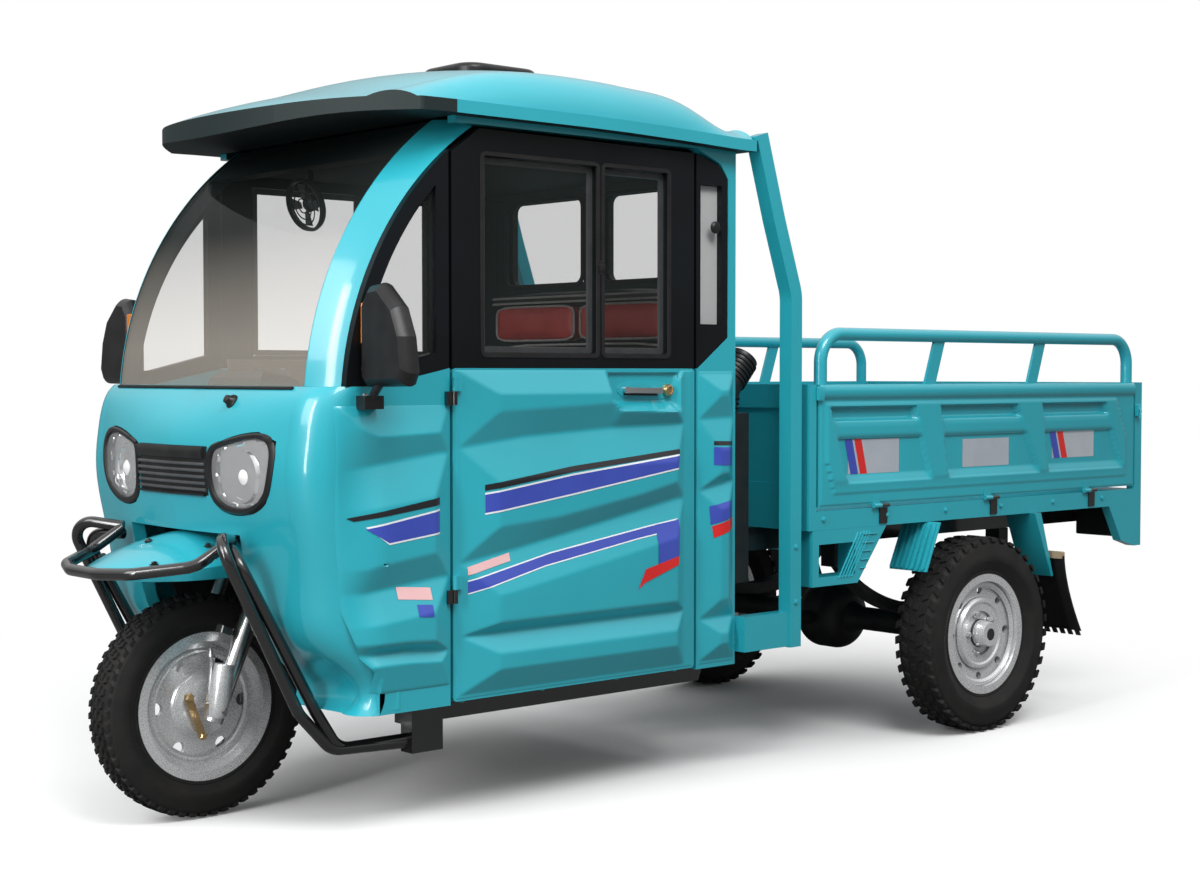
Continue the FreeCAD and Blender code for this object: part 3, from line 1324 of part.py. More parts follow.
# Fittings
def make_underbed():
    """Angle frames under the bed front, mud shields ahead of and behind the rear wheels."""
    half = D.bed_half_width
    top = D.bed_frame_foot - D.seam
    front = D.bed_front_x - 14
    frame = side_pad("tool_frame", [(front, 452), (front, top), (front - 290, top), (front - 175, 452)],
                     half - 60, 60)
    rectangle(hole := new_sketch(frame, "XZ_Plane", -half - 5), front - 165, 476, front - 24, 560)
    pocket(frame, hole, 80, back=True)
    inner = D.rear_track / 2 - D.rear_tyre_width / 2 - 6
    shield = side_pad("mud_shield", [
        (-1868, 466), (-1873, 466), (-1931, top), (-1926, top)], inner, D.rear_tyre_width + 2)
    stay = side_pad("flap_stay", [
        (D.flap_x + 10, D.flap_top - 60), (D.flap_x + D.seam, D.flap_top - 60), (D.flap_x + 62, top),
        (D.flap_x + 92, top)], inner, D.rear_tyre_width - 20)
    items = [frame, shield, stay]
    others = [mirrored(item, item.Name + "_right") for item in items]
    keep("bed_brackets", grouped("bed_brackets", items + others))
    x, sheet_ = D.flap_x, D.flap_sheet
    foot = D.flap_top - D.flap_length
    flap = side_pad("mud_flap", [(x, D.flap_top), (x - sheet_, D.flap_top),
                                 (x - sheet_ - D.flap_lean, foot), (x - D.flap_lean, foot)],
                    inner, D.flap_width)
    pair("mud_flaps", flap)


def make_lamps_and_intake():
    half = D.bed_half_width - D.side_depth
    lamp = box("tail_lamp", (D.bed_rear_x + 2, half - 150, D.post_foot + 30),
               (D.bed_rear_x + 40, half - 20, D.bed_frame_foot - D.seam))
    pair("tail_lamps", lamp)
    x, y = D.cab_rear_x - D.seam, 400
    column = bar((x - 95, y - 55, 470), (x, y + 55, 900))
    horn = round_tube([vec(x - 50, y, 880), vec(x - 60, y, 960), vec(x - 130, y, 1040)], 40, 60)
    keep("air_intake", coded("air_intake", column.fuse(horn).removeSplitter()))


def make_seats():
    """Plain solids for the driver's seat and the bench behind it."""
    floor = D.cab_floor_height + D.floor_sheet
    base_top = D.seat_height - D.cushion
    front, rear = D.seat_front_x, D.seat_front_x - D.seat_length
    back = D.cab_rear_x + D.wall + D.seam
    base = new_body("seat_base")
    rectangle(plan := new_sketch(base, "XY_Plane", floor + D.seam), back + 4, -D.bench_half_width,
              front - 20, D.bench_half_width)
    pad(base, plan, base_top - floor - D.seam)
    wall = 6
    rectangle(hole := new_sketch(base, "XY_Plane", floor), back + 4 + wall, -D.bench_half_width + wall,
              front - 20 - wall, D.bench_half_width - wall)
    pocket(base, hole, base_top - floor - wall, back=True)
    keep("seat_base", place(base))
    half = D.seat_width / 2
    low = base_top + D.seam
    cushion = bar((rear, -half, low), (front, half, D.seat_height))
    backrest = bar((rear - 70, -half + 20, low), (rear, half - 20, low + 440))
    keep("driver_seat", coded("driver_seat", cushion.fuse(backrest).removeSplitter()))
    wide = D.bench_half_width
    bench = bar((back + 5, -wide, low), (rear - 78, wide, D.seat_height))
    upright = bar((back + 5, -wide, low), (back + 75, wide, D.bench_back_top))
    keep("rear_bench", coded("rear_bench", bench.fuse(upright).removeSplitter()))


def make_dash():
    half = D.cab_half_width - D.wall - D.seam - 2
    top, front = D.cowl_height - 22, D.cowl_x - D.wall - 40
    body = new_body("dashboard")
    outline(base := new_sketch(body, "XZ_Plane"), [
        (front, top), (front - D.dash_depth, top - 6), (front - D.dash_depth - 20, top - 60),
        (front - D.dash_depth + 30, top - 160), (front + 20, top - 160)])
    pad(body, base, 2 * half, midplane=True)
    rounded(body, 12, along(Y))
    keep("dashboard", place(body))


def make_mirrors():
    """Teardrop mirrors on short necks from the corners of the cowl."""
    x, inner, outer = D.mirror_x, D.mirror_inner, D.mirror_outer
    low, top = D.mirror_foot, D.mirror_top
    middle_y, middle_z = inner + 85, (low + top) / 2 - 10
    rim = [(inner, low + 8), (inner + 12, low), (outer - 14, low + 2), (outer, low + 28),
           (outer - 12, low + 104), (outer - 40, low + 166), (inner + 62, top - 8),
           (inner + 24, top - 12), (inner, top - 45)]
    head = new_body("mirror_head")
    sections = []
    for station, share in ((-D.mirror_deep / 2, 0.95), (size(-6), 1), (D.mirror_deep / 2, 0.84)):
        sketch = new_sketch(head, "YZ_Plane", x + station)
        sections.append(outline(sketch, [(middle_y + (y - middle_y) * share,
                                          middle_z + (z - middle_z) * share) for y, z in rim]))
    loft(head, sections)
    place(head)
    wall = D.cab_half_width + D.seam
    base = bar((x - 24, wall, 926), (x + 24, wall + 32, 954))
    neck = round_tube([vec(x, wall + 18, 940), vec(x, wall + 34, 962), vec(x, wall + 62, low + 16)],
                      D.mirror_arm_radius, 14)
    arm = coded("mirror_arm", base.fuse(neck))
    pair("mirrors", fuse("mirror_set", [head, arm]))


def make_exhaust():
    """Silencer slung from the right-hand rail, with the pipe from the engine."""
    y, z = -D.rail_y - 75, 430
    start = vec(D.kick_rear_x - 60, y, z)
    can = Part.makeCylinder(52, 330, start, Vector(-1, 0, 0))
    rear = D.engine_front_x - D.engine_length
    high = D.cab_floor_height - 20
    outlet = rear + 150
    points = [vec(outlet, -D.engine_half_width - D.seam, high), vec(outlet, -220, high),
              vec(outlet - 20, -265, 180), vec(rear - 100, y, 180),
              vec(D.kick_front_x - 40, y, 190), start + Vector(5, 0, 0)]
    pipe = round_tube(points, 17, 60)
    strap = D.kick_rear_x - 160
    rail_face = -D.rail_y - D.rail_width / 2 - D.seam
    hanger = bar((strap, y, z), (strap + 25, rail_face, z + 130))
    keep("exhaust", coded("exhaust", can.fuse([pipe, hanger])))


make_tyre("front_tyre", D.front_tyre_radius, D.front_tyre_width, D.front_rim_half, 0, 0)
for side_name, side_sign in (("left", 1), ("right", -1)):
    make_tyre("rear_tyre_" + side_name, D.rear_tyre_radius, D.rear_tyre_width, D.rear_rim_half,
              -D.wheelbase, side_sign * D.rear_track / 2)
make_front_rim()
make_rear_rim()
make_fork()
make_sliders()
make_handlebar()
make_head_frame()
make_fascia()
make_wheel_well()
make_floor()
make_pillars()
make_windscreen()
make_front_quarters()
make_quarter_windows()
make_side_frames()
make_rear_wall()
make_roof()
make_vent()
make_doors()
make_crash_bar()
make_mudguard()
make_bed_floor()
make_headboard()
make_drop_sides()
make_tailgate()
make_guard_posts()
make_chassis()
make_driveline()
make_springs()
make_underbed()
make_lamps_and_intake()
make_seats()
make_dash()
make_mirrors()
make_exhaust()

doc.recompute()
faults = [item.Name for item in doc.Objects if {"Invalid", "Error"} & set(item.State)]
if faults:
    raise RuntimeError("not rebuilt: " + ", ".join(faults))
for label, item in PARTS.items():
    if item.Shape.isNull() or not item.Shape.isValid():
        raise RuntimeError("bad shape: " + label)

os.makedirs("parts", exist_ok=True)
for label, item in PARTS.items():
    item.Shape.exportStep("parts/%s.step" % label)
    solids = item.Shape.Solids
    print("%-22s %d solids, %.0f cm3" % (label, len(solids), item.Shape.Volume / 1000))
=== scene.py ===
import math

import bmesh
import bpy
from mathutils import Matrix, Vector
from mathutils.bvhtree import BVHTree


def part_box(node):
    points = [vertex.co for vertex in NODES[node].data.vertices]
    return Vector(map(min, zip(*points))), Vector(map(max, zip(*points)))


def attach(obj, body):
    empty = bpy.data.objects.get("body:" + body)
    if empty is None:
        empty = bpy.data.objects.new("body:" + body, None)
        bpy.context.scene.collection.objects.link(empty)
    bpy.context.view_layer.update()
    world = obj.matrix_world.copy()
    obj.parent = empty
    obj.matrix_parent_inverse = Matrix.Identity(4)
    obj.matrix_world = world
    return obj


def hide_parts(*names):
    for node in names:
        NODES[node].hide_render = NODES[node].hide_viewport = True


# Looks of the cab cargo tricycle. Lengths are in millimetres and stations are measured
# from the front axle, +X forward, +Y to the left, +Z up; at() turns them into the frame.

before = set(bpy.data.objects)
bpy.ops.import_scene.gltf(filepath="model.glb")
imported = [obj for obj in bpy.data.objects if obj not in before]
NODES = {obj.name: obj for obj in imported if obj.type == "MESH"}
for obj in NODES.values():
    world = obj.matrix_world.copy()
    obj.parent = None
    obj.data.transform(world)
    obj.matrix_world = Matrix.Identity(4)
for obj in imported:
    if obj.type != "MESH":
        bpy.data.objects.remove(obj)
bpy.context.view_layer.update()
ROOT = "cab_and_chassis"
SIDES = ((1, "left"), (-1, "right"))


def middle(node):
    """The centre of a CAD node's box."""
    low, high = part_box(node)
    return (low + high) / 2


AXLE_X = middle("front_tyre").x


def at(x, y, z):
    """A station as a place in the frame, in metres."""
    return Vector((x / 1000 + AXLE_X, y / 1000, z / 1000))


def station(point):
    """A place in the frame as a station."""
    return Vector(((point.x - AXLE_X) * 1000, point.y * 1000, point.z * 1000))


def search(*names):
    """Search tree over CAD nodes, in stations."""
    points, faces = [], []
    for name in names:
        mesh = NODES[name].data
        base = len(points)
        points += [station(vertex.co) for vertex in mesh.vertices]
        faces += [[base + i for i in polygon.vertices] for polygon in mesh.polygons]
    return BVHTree.FromPolygons(points, faces)


# Materials
def linear(code):
    """An sRGB hex colour in linear light."""
    parts = [int(code[i:i + 2], 16) / 255 for i in (0, 2, 4)]
    return tuple(c / 12.92 if c <= 0.04045 else ((c + 0.055) / 1.055) ** 2.4
                 for c in parts) + (1.0,)


def node(tree, kind, **settings):
    """Adds a node. A setting is a property or an input, _0 and _1 are inputs by place,
    and a value that is a socket is linked."""
    item = tree.nodes.new("ShaderNode" + kind)
    for key, value in settings.items():
        if hasattr(item, key):
            setattr(item, key, value)
            continue
        socket = item.inputs[int(key[1:]) if key[0] == "_" else key.replace("_", " ")]
        if isinstance(value, bpy.types.NodeSocket):
            tree.links.new(value, socket)
        else:
            socket.default_value = value
    return item


def new_material(name):
    item = bpy.data.materials.new(name)
    item.use_nodes = True
    return item, item.node_tree, item.node_tree.nodes["Principled BSDF"]


MID_NOISE = {"From_Min": 0.35, "From_Max": 0.65}


def surface(name, colour, other, rough, spread=0.08, patch_mm=300, grain_mm=1.5, relief=0.0,
            metallic=0.0, coat=0.0, coat_rough=0.05, alpha=1.0, specular=0.5):
    """Two close colours in soft patches patch_mm wide, with gloss and relief that vary every
    grain_mm. Grains finer than about 1 mm are drawn at 1 mm or more, or they wouldn't show."""
    item, tree, shader = new_material(name)
    place = node(tree, "TexCoord").outputs["Object"]
    patches = node(tree, "TexNoise", Vector=place, Scale=1000 / patch_mm, Detail=4.0).outputs["Fac"]
    share = node(tree, "MapRange", Value=patches, **MID_NOISE).outputs["Result"]
    blend = node(tree, "Mix", data_type="RGBA", Factor=share, A=linear(colour), B=linear(other))
    tree.links.new(blend.outputs["Result"], shader.inputs["Base Color"])
    grains = node(tree, "TexNoise", Vector=place, Scale=1000 / grain_mm, Detail=3.0).outputs["Fac"]
    gloss = node(tree, "MapRange", Value=grains, To_Min=rough - spread / 2,
                 To_Max=rough + spread / 2, **MID_NOISE)
    tree.links.new(gloss.outputs["Result"], shader.inputs["Roughness"])
    if relief:
        bump = node(tree, "Bump", Height=grains, Strength=relief, Distance=0.001)
        tree.links.new(bump.outputs["Normal"], shader.inputs["Normal"])
    for key, value in (("Metallic", metallic), ("Coat Weight", coat),
                       ("Coat Roughness", coat_rough), ("Specular IOR Level", specular),
                       ("Alpha", alpha)):
        shader.inputs[key].default_value = value
    return item


# Baked turquoise enamel on pressed steel: soft gloss with a wide, slightly uneven highlight
PAINT = surface("turquoise_baked_enamel", "27a5b4", "229cab", 0.36, 0.05,
                patch_mm=700, grain_mm=1.1, relief=0.03, coat=0.8, coat_rough=0.10, specular=0.40)
# Satin black enamel on the window surrounds: nearly no colour, a dull sheen
BLACK_FRAME = surface("satin_black_enamel", "0d0f11", "12161a", 0.32, patch_mm=330,
                      grain_mm=2.5, specular=0.22)
# Painted shade: a dark teal sheet over the inner sheet that stands for the deep shade in the cab
# and swallows the light there
CAB_SHADE_SHEET = surface("dark_teal_painted_cab_shade", "102020", "192628", 0.62, 0.1,
                 patch_mm=250, grain_mm=1.7, relief=0.2, specular=0.12)
# Gloss black paint on bent steel tube: sharp narrow highlights along each tube
BLACK_TUBE = surface("gloss_black_tube_paint", "101011", "191919", 0.24, 0.06,
                     patch_mm=330, grain_mm=2.5, relief=0.04, coat=0.9, coat_rough=0.08)
# Rolled steel under thin black primer: dull, dusty and blotched
DARK_STEEL = surface("primed_underframe_steel", "222324", "303030", 0.52, 0.2,
                     patch_mm=110, grain_mm=3.8, relief=0.25, metallic=0.3)
# Grey floor paint, scuffed by feet: dull, in lighter and darker patches
FLOOR_STEEL = surface("scuffed_grey_floor_paint", "3c3e40", "464748", 0.55, 0.15,
                      patch_mm=140, grain_mm=3.3, relief=0.2)
# Sand-cast aluminium: a soft grey with a grainy skin
CAST = surface("sand_cast_aluminium", "a3a6a8", "b4b7b9", 0.42, 0.16, patch_mm=50,
               grain_mm=1.4, relief=0.4, metallic=0.8)
# Ground and polished steel: bright, with faint machining
BRIGHT = surface("polished_fork_steel", "d4d5d6", "dfe0e0", 0.20, 0.10, patch_mm=80,
                 grain_mm=2.0, relief=0.06, metallic=0.95)
# Vacuum-metallised plastic in the lamp bowls: a hard mirror
CHROME = surface("metallised_reflector", "e9eaea", "f1f1f2", 0.10, 0.06,
                 patch_mm=55, grain_mm=3.3, metallic=1.0)
# Zinc-plated steel, passivated yellow: a warm pale gold, softly shining
BRASS = surface("yellow_passivated_zinc", "bb9d70", "caae82", 0.32, 0.12,
                patch_mm=33, grain_mm=2.0, relief=0.1, metallic=0.9)
# Silver wheel lacquer on pressed steel: pale, with a soft metallic bloom
ALLOY = surface("silver_wheel_lacquer", "d9dbdc", "e4e5e6", 0.28, 0.12, patch_mm=70,
                grain_mm=1.7, relief=0.08, metallic=0.55, coat=0.4)
# Cured tyre rubber: matt and dusty, the darkest thing near the floor
TYRE = surface("cured_tyre_rubber", "191919", "22201f", 0.66, 0.2, patch_mm=60,
               grain_mm=2.0, relief=0.4, specular=0.30)
# Extruded rubber seal: matt black
RUBBER = surface("extruded_black_rubber", "171719", "201f20", 0.60, 0.15,
                 patch_mm=50, grain_mm=1.7, relief=0.3, specular=0.30)
# Moulded ABS with a fine spark-eroded texture: near black, an even low sheen
PLASTIC = surface("moulded_black_abs", "171719", "1f1f20", 0.36, 0.12, patch_mm=40,
                  grain_mm=1.0, relief=0.2, specular=0.4)
# Grey ABS trim: a lighter moulding that picks out edges
GREY_TRIM = surface("moulded_grey_abs", "424345", "4b4c4e", 0.34, 0.10,
                    patch_mm=40, grain_mm=1.1, relief=0.15)
# Embossed PVC cloth over foam: dark red, softly shining over the crowns
VINYL = surface("embossed_red_pvc_cloth", "ac3d39", "ba4843", 0.42, 0.12, patch_mm=70,
                grain_mm=1.1, relief=0.5)
# The same cloth in black, behind and under the red rolls
BLACK_VINYL = surface("embossed_black_pvc_cloth", "1d1d1e", "252424", 0.45, 0.1,
                      patch_mm=70, grain_mm=1.1, relief=0.5)
# Extruded PVC piping in the seams: a pale grey line round each pad
PIPING = surface("grey_pvc_piping", "959391", "a2a09f", 0.45, 0.1, patch_mm=33,
                 grain_mm=1.4, relief=0.3)
# Float glass with a weak grey tint: nearly clear, a hard reflection
GLASS = surface("tinted_float_glass", "3b4240", "3f4543", 0.02, 0.01, patch_mm=1000,
                grain_mm=500, alpha=0.13)
# Moulded clear polycarbonate lens: seen only by its sharp reflections
LENS = surface("clear_polycarbonate_lens", "e7e9eb", "ebedee", 0.04, 0.02,
               patch_mm=500, grain_mm=250, alpha=0.10)
# Red acrylic lens with a wet gloss
RED_LENS = surface("red_acrylic_lens", "ae1816", "bc211d", 0.14, 0.05, patch_mm=33,
                   grain_mm=12, coat=1.0, coat_rough=0.04)
# Amber acrylic reflector with a fine prismatic back
AMBER = surface("amber_acrylic_reflector", "ce7326", "d98230", 0.20, 0.06,
                patch_mm=33, grain_mm=5, relief=0.2, coat=0.8)
# Frosted bulb glass, also for the white dial faces: an even, soft white
LIT = surface("frosted_bulb_glass", "eeeeeb", "f6f6f4", 0.12, 0.05, patch_mm=100,
              grain_mm=10)
# Painted hardboard inside the doors: flat grey-brown
TRIM_BOARD = surface("grey_brown_hardboard", "79736c", "847d76", 0.6, 0.1,
                     patch_mm=170, grain_mm=2, relief=0.3)
# Painted light on the rear quarter pane: a flat, nearly white sheet for the bright backdrop seen
# through it
PANE_PAINTED_LIGHT = surface("pale_painted_light_on_pane", "dadddd", "e2e4e4", 0.35, 0.1, patch_mm=330,
                    grain_mm=3.3)
# Tan primer left bare on the steel flap stays: flat, faintly mottled
TAN_STEEL = surface("tan_steel_primer", "a28e73", "ae997f", 0.5, 0.1, patch_mm=110,
                    grain_mm=2.5, relief=0.2)


# Screen glass: clear above, with a painted reflection of the floor low down, a warm grey blended
# into its colour
SCREEN_GLASS_PAINTED_REFLECTION = surface("curved_screen_glass", "3b4240", "3f4543", 0.02, 0.01,
                     patch_mm=1000, grain_mm=500, alpha=0.15)


def paint_floor_reflection_on_screen():
    """Paints the floor's warm grey reflection into the screen glass's colour, low down, by height.
    """
    tree = SCREEN_GLASS_PAINTED_REFLECTION.node_tree
    shader = tree.nodes["Principled BSDF"]
    geometry = node(tree, "NewGeometry").outputs["Position"]
    height = node(tree, "SeparateXYZ", Vector=geometry).outputs["Z"]
    # Painted reflection of the floor, strongest at the screen's foot
    low = node(tree, "MapRange", Value=height, From_Min=at(0, 0, 1330).z, From_Max=at(0, 0, 1060).z)
    blend = node(tree, "Mix", data_type="RGBA", Factor=low.outputs["Result"],
                 A=shader.inputs["Base Color"].links[0].from_socket, B=linear("e2d9cc"))
    tree.links.new(blend.outputs["Result"], shader.inputs["Base Color"])


def paint_with_painted_shade(name, rules):
    """The enamel, with painted shade where any rule holds: a dark teal without coat that stands
    for the shade on faces turned down or inwards, or inside the cab. A rule is a list of tests
    (value, way, limit), all of which hold. A value is a place X, Y or Z, a facing NX, NY
    or NZ, or IN, which is below 0 where a face looks inwards."""
    item = PAINT.copy()
    item.name = name
    tree = item.node_tree
    shader = tree.nodes["Principled BSDF"]
    geometry = node(tree, "NewGeometry")
    place = node(tree, "SeparateXYZ", Vector=geometry.outputs["Position"]).outputs
    facing = node(tree, "SeparateXYZ", Vector=geometry.outputs["True Normal"]).outputs
    aside = node(tree, "Math", operation="ABSOLUTE", _0=place["Y"]).outputs["Value"]
    inward = node(tree, "Math", operation="MULTIPLY", _0=place["Y"], _1=facing["Y"])
    values = {"X": place["X"], "Y": aside, "Z": place["Z"], "NX": facing["X"],
              "NY": facing["Y"], "NZ": facing["Z"], "IN": inward.outputs["Value"]}
    whole = None
    for rule in rules:
        held = None
        for value, way, limit in rule:
            test = node(tree, "Math", operation=way, _0=values[value], _1=limit).outputs["Value"]
            held = test if held is None else node(tree, "Math", operation="MULTIPLY", _0=held,
                                                  _1=test).outputs["Value"]
        whole = held if whole is None else node(tree, "Math", operation="MAXIMUM", _0=whole,
                                                _1=held).outputs["Value"]
    # Painted shade: dark teal, rough and without coat, wherever a rule holds
    board = (("Base Color", "RGBA", linear("0f1f20")), ("Roughness", "FLOAT", 0.62))
    for key, kind, dark in board:
        mix = node(tree, "Mix", data_type=kind, Factor=whole,
                   A=shader.inputs[key].links[0].from_socket, B=dark)
        tree.links.new(mix.outputs["Result"], shader.inputs[key])
    coat = node(tree, "MapRange", Value=whole, To_Min=0.8, To_Max=0.0)
    tree.links.new(coat.outputs["Result"], shader.inputs["Coat Weight"])
    return item


paint_floor_reflection_on_screen()
UNDER, OVER = "LESS_THAN", "GREATER_THAN"
# Painted shade by facing and place: the roof's down-turned faces and visor rim, the screen frame's
# rear and inward faces and its header, the rear wall inside the cab, and the side frames' inward
# faces
ROOF_PAINT = paint_with_painted_shade("roof_enamel_and_painted_shade", [
    [("NZ", UNDER, -0.1)],
    [("NZ", UNDER, 0.12), ("X", OVER, at(-330, 0, 0).x)]])
SCREEN_PAINT = paint_with_painted_shade("screen_frame_enamel_and_painted_shade", [
    [("NX", UNDER, -0.4)],
    [("IN", UNDER, -0.12)],
    [("Y", UNDER, 0.408), ("Z", OVER, at(0, 0, 1440).z)]])
WALL_PAINT = paint_with_painted_shade("rear_wall_enamel_and_painted_shade", [
    [("NX", OVER, -0.5), ("Z", OVER, at(0, 0, 900).z)]])
SIDE_PAINT = paint_with_painted_shade("side_frame_enamel_and_painted_shade", [
    [("IN", UNDER, -0.1)]])


def vinyl_print(name, colour, other, metallic=0.0):
    """Printed vinyl film on the enamel: flat colour under a satin skin."""
    return surface(name, colour, other, 0.32, 0.06, patch_mm=170, grain_mm=1.3,
                   metallic=metallic, coat=0.6, coat_rough=0.08)


BLACK_STRIPE = vinyl_print("black_vinyl_stripe", "151519", "1b1b1f")
BLUE_STRIPE = vinyl_print("blue_vinyl_stripe", "3547aa", "3c4fb3")
RED_STRIPE = vinyl_print("red_vinyl_stripe", "ce1a1c", "da2621")
PINK_STRIPE = vinyl_print("pink_vinyl_stripe", "dcadaf", "e4b8b8")
WHITE_LINE = vinyl_print("white_vinyl_line", "e4e7ec", "ebeef0")
SILVER_PLATE = vinyl_print("silver_vinyl_plate", "bcc4ce", "cbd1da", 0.35)

FINISH = {
    ROOF_PAINT: ["roof"],
    SCREEN_PAINT: ["windscreen_frame"],
    WALL_PAINT: ["rear_wall"],
    SIDE_PAINT: ["side_frames"],
    SCREEN_GLASS_PAINTED_REFLECTION: ["windscreen"],
    PAINT: ["front_fascia", "front_quarter_panels", "door_panel_left", "door_panel_right",
            "front_mudguard", "bed_floor", "bed_headboard", "drop_side_left", "drop_side_right",
            "tailgate", "guard_posts", "bed_brackets"],
    BLACK_FRAME: ["quarter_window_frames", "door_window_frame_left", "door_window_frame_right"],
    BLACK_TUBE: ["crash_bar", "head_frame", "handlebar", "chassis_frame", "panel_hinges"],
    DARK_STEEL: ["drive_shaft", "rear_axle", "leaf_springs", "exhaust"],
    FLOOR_STEEL: ["cab_floor", "seat_base"],
    CAST: ["engine_block"],
    BRIGHT: ["fork_yoke", "fork_legs"],
    ALLOY: ["front_rim", "rear_rim_left", "rear_rim_right"],
    TYRE: ["front_tyre", "rear_tyre_left", "rear_tyre_right"],
    RUBBER: ["handlebar_grips", "mud_flaps"],
    PLASTIC: ["grille", "wheel_well", "air_intake", "dashboard", "mirrors", "roof_vent"],
    VINYL: ["driver_seat", "rear_bench"],
    GLASS: ["quarter_glass", "rear_glass", "door_glass_left", "door_glass_right"],
    LENS: ["headlamps"],
    RED_LENS: ["tail_lamps"],
}


def dress(item, finish):
    """Gives a piece one finish."""
    item.data.materials.clear()
    item.data.materials.append(finish)


for finish, names in FINISH.items():
    for name in names:
        dress(NODES[name], finish)


# Mesh building
def resampled(points, count):
    """Points at even steps along an open line."""
    points = [Vector(p) for p in points]
    lengths = [(b - a).length for a, b in zip(points, points[1:])]
    total = sum(lengths)
    result = []
    for step in range(count):
        goal = total * step / (count - 1)
        for a, b, length in zip(points, points[1:], lengths):
            if goal <= length or b is points[-1]:
                result.append(a.lerp(b, min(goal / length, 1)))
                break
            goal -= length
    return result


def rounded(points, turns=2):
    """A closed outline with its corners cut back."""
    points = [Vector(p) for p in points]
    for _ in range(turns):
        points = [point for a, b in zip(points, points[1:] + points[:1])
                  for point in (a.lerp(b, 0.25), a.lerp(b, 0.75))]
    return points


def circle(centre, across, third, radius, sides):
    """Points round a centre, in the plane of two unit vectors."""
    return [centre + (across * math.cos(math.tau * i / sides)
                      + third * math.sin(math.tau * i / sides)) * radius for i in range(sides)]


class Form:
    """Vertices and faces in stations, gathered into one piece."""

    def __init__(self):
        self.points, self.faces = [], []

    def add(self, points, faces):
        """Takes in more points, with faces that count from the first of them."""
        base = len(self.points)
        self.points += [Vector(p) for p in points]
        self.faces += [[base + i for i in face] for face in faces]
        return self

    def rings(self, rings, closed=True, caps=True):
        """A skin over rings with the same number of points."""
        count = len(rings[0])
        span = count if closed else count - 1
        faces = [(a * count + b, a * count + (b + 1) % count, (a + 1) * count + (b + 1) % count,
                  (a + 1) * count + b) for a in range(len(rings) - 1) for b in range(span)]
        if caps:
            faces.append(tuple(range(count))[::-1])
            faces.append(tuple((len(rings) - 1) * count + b for b in range(count)))
        return self.add([p for ring in rings for p in ring], faces)

    def lathe(self, centre, axis, profile, sides=48, caps=True):
        """Turned about an axis through centre; profile is (radius, distance along the axis)."""
        axis = Vector(axis).normalized()
        across = axis.orthogonal().normalized()
        third = axis.cross(across)
        return self.rings([circle(Vector(centre) + axis * distance, across, third, radius, sides)
                           for radius, distance in profile], caps=caps)

    def tube(self, path, radius, sides=10):
        """A round bar along a path, closed at its ends."""
        path = [Vector(p) for p in path]
        aims = [(b - a).normalized() for a, b in zip(path, path[1:])]
        aims = [aims[0]] + [(a + b).normalized() for a, b in zip(aims, aims[1:])] + [aims[-1]]
        across = aims[0].orthogonal().normalized()
        rings = []
        for point, aim in zip(path, aims):
            across = (across - aim * across.dot(aim)).normalized()
            rings.append(circle(point, across, aim.cross(across), radius, sides))
        return self.rings(rings)

    def loop(self, path, radius, sides=8):
        """A closed tube."""
        path = [Vector(p) for p in path]
        count = len(path)
        rings = []
        across = None
        for i, point in enumerate(path):
            aim = (path[(i + 1) % count] - path[i - 1]).normalized()
            across = aim.orthogonal() if across is None else across
            across = (across - aim * across.dot(aim)).normalized()
            rings.append(circle(point, across, aim.cross(across), radius, sides))
        return self.rings(rings + [rings[0]], caps=False)

    def slab(self, outline, push, chamfer=1.0):
        """An outline pushed along a vector, with chamfered edges at both ends."""
        outline = [Vector(p) for p in outline]
        push = Vector(push)
        centre = sum(outline, Vector()) / len(outline)
        step = push.normalized() * min(chamfer, push.length * 0.4)
        tight = []
        for point in outline:
            inward = centre - point
            tight.append(point + inward.normalized() * min(chamfer * 1.3, inward.length * 0.4))
        return self.rings([tight, [p + step for p in outline], [p + push - step for p in outline],
                           [p + push for p in tight]])

    def block(self, low, high, chamfer=1.5):
        """A chamfered box between two corners."""
        (xa, ya, za), (xb, yb, zb) = low, high
        return self.slab([(xa, ya, za), (xb, ya, za), (xb, yb, za), (xa, yb, za)], (0, 0, zb - za),
                         chamfer)

    def grid(self, rows):
        """An open sheet through rows of points."""
        return self.rings(rows, closed=False, caps=False)

    def on_side(self, side):
        """The form, mirrored to the right for side -1."""
        other = Form()
        other.points = [Vector((p.x, p.y * side, p.z)) for p in self.points]
        other.faces = [face[::side] for face in self.faces]
        return other


def make(name, form, finish, body=ROOT, sharp=35, open_to=None):
    """One piece from a form. open_to is the way that an open sheet faces."""
    mesh = bpy.data.meshes.new(name)
    mesh.from_pydata([at(*p) for p in form.points], [], form.faces)
    work = bmesh.new()
    work.from_mesh(mesh)
    if open_to is None:
        bmesh.ops.recalc_face_normals(work, faces=work.faces)
    else:
        work.normal_update()
        total = sum((face.normal * face.calc_area() for face in work.faces), Vector())
        if total.dot(Vector(open_to)) < 0:
            bmesh.ops.reverse_faces(work, faces=work.faces)
    work.to_mesh(mesh)
    work.free()
    mesh.shade_smooth()
    mesh.set_sharp_from_angle(angle=math.radians(sharp))
    item = bpy.data.objects.new(name, mesh)
    bpy.context.scene.collection.objects.link(item)
    dress(item, finish)
    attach(item, body)
    return item


def pair(name, form, finish, body=ROOT, sharp=35, outward=False):
    """The form drawn on the left, and its mirror image; body may name {} for the side.
    outward is for an open sheet that faces away from the cab."""
    for side, word in SIDES:
        make(name + "_" + word, form.on_side(side), finish, body.format(word), sharp,
             (0, side, 0) if outward else None)


# Pressed side panels: folds like weatherboards, each a lip over a crease
def along(line, x):
    """The second value on a line of (x, value) whose x falls, held level past its ends."""
    if x >= line[0][0]:
        return line[0][1]
    for (xa, za), (xb, zb) in zip(line, line[1:]):
        if x >= xb:
            return za + (zb - za) * (xa - x) / (xa - xb)
    return line[-1][1]


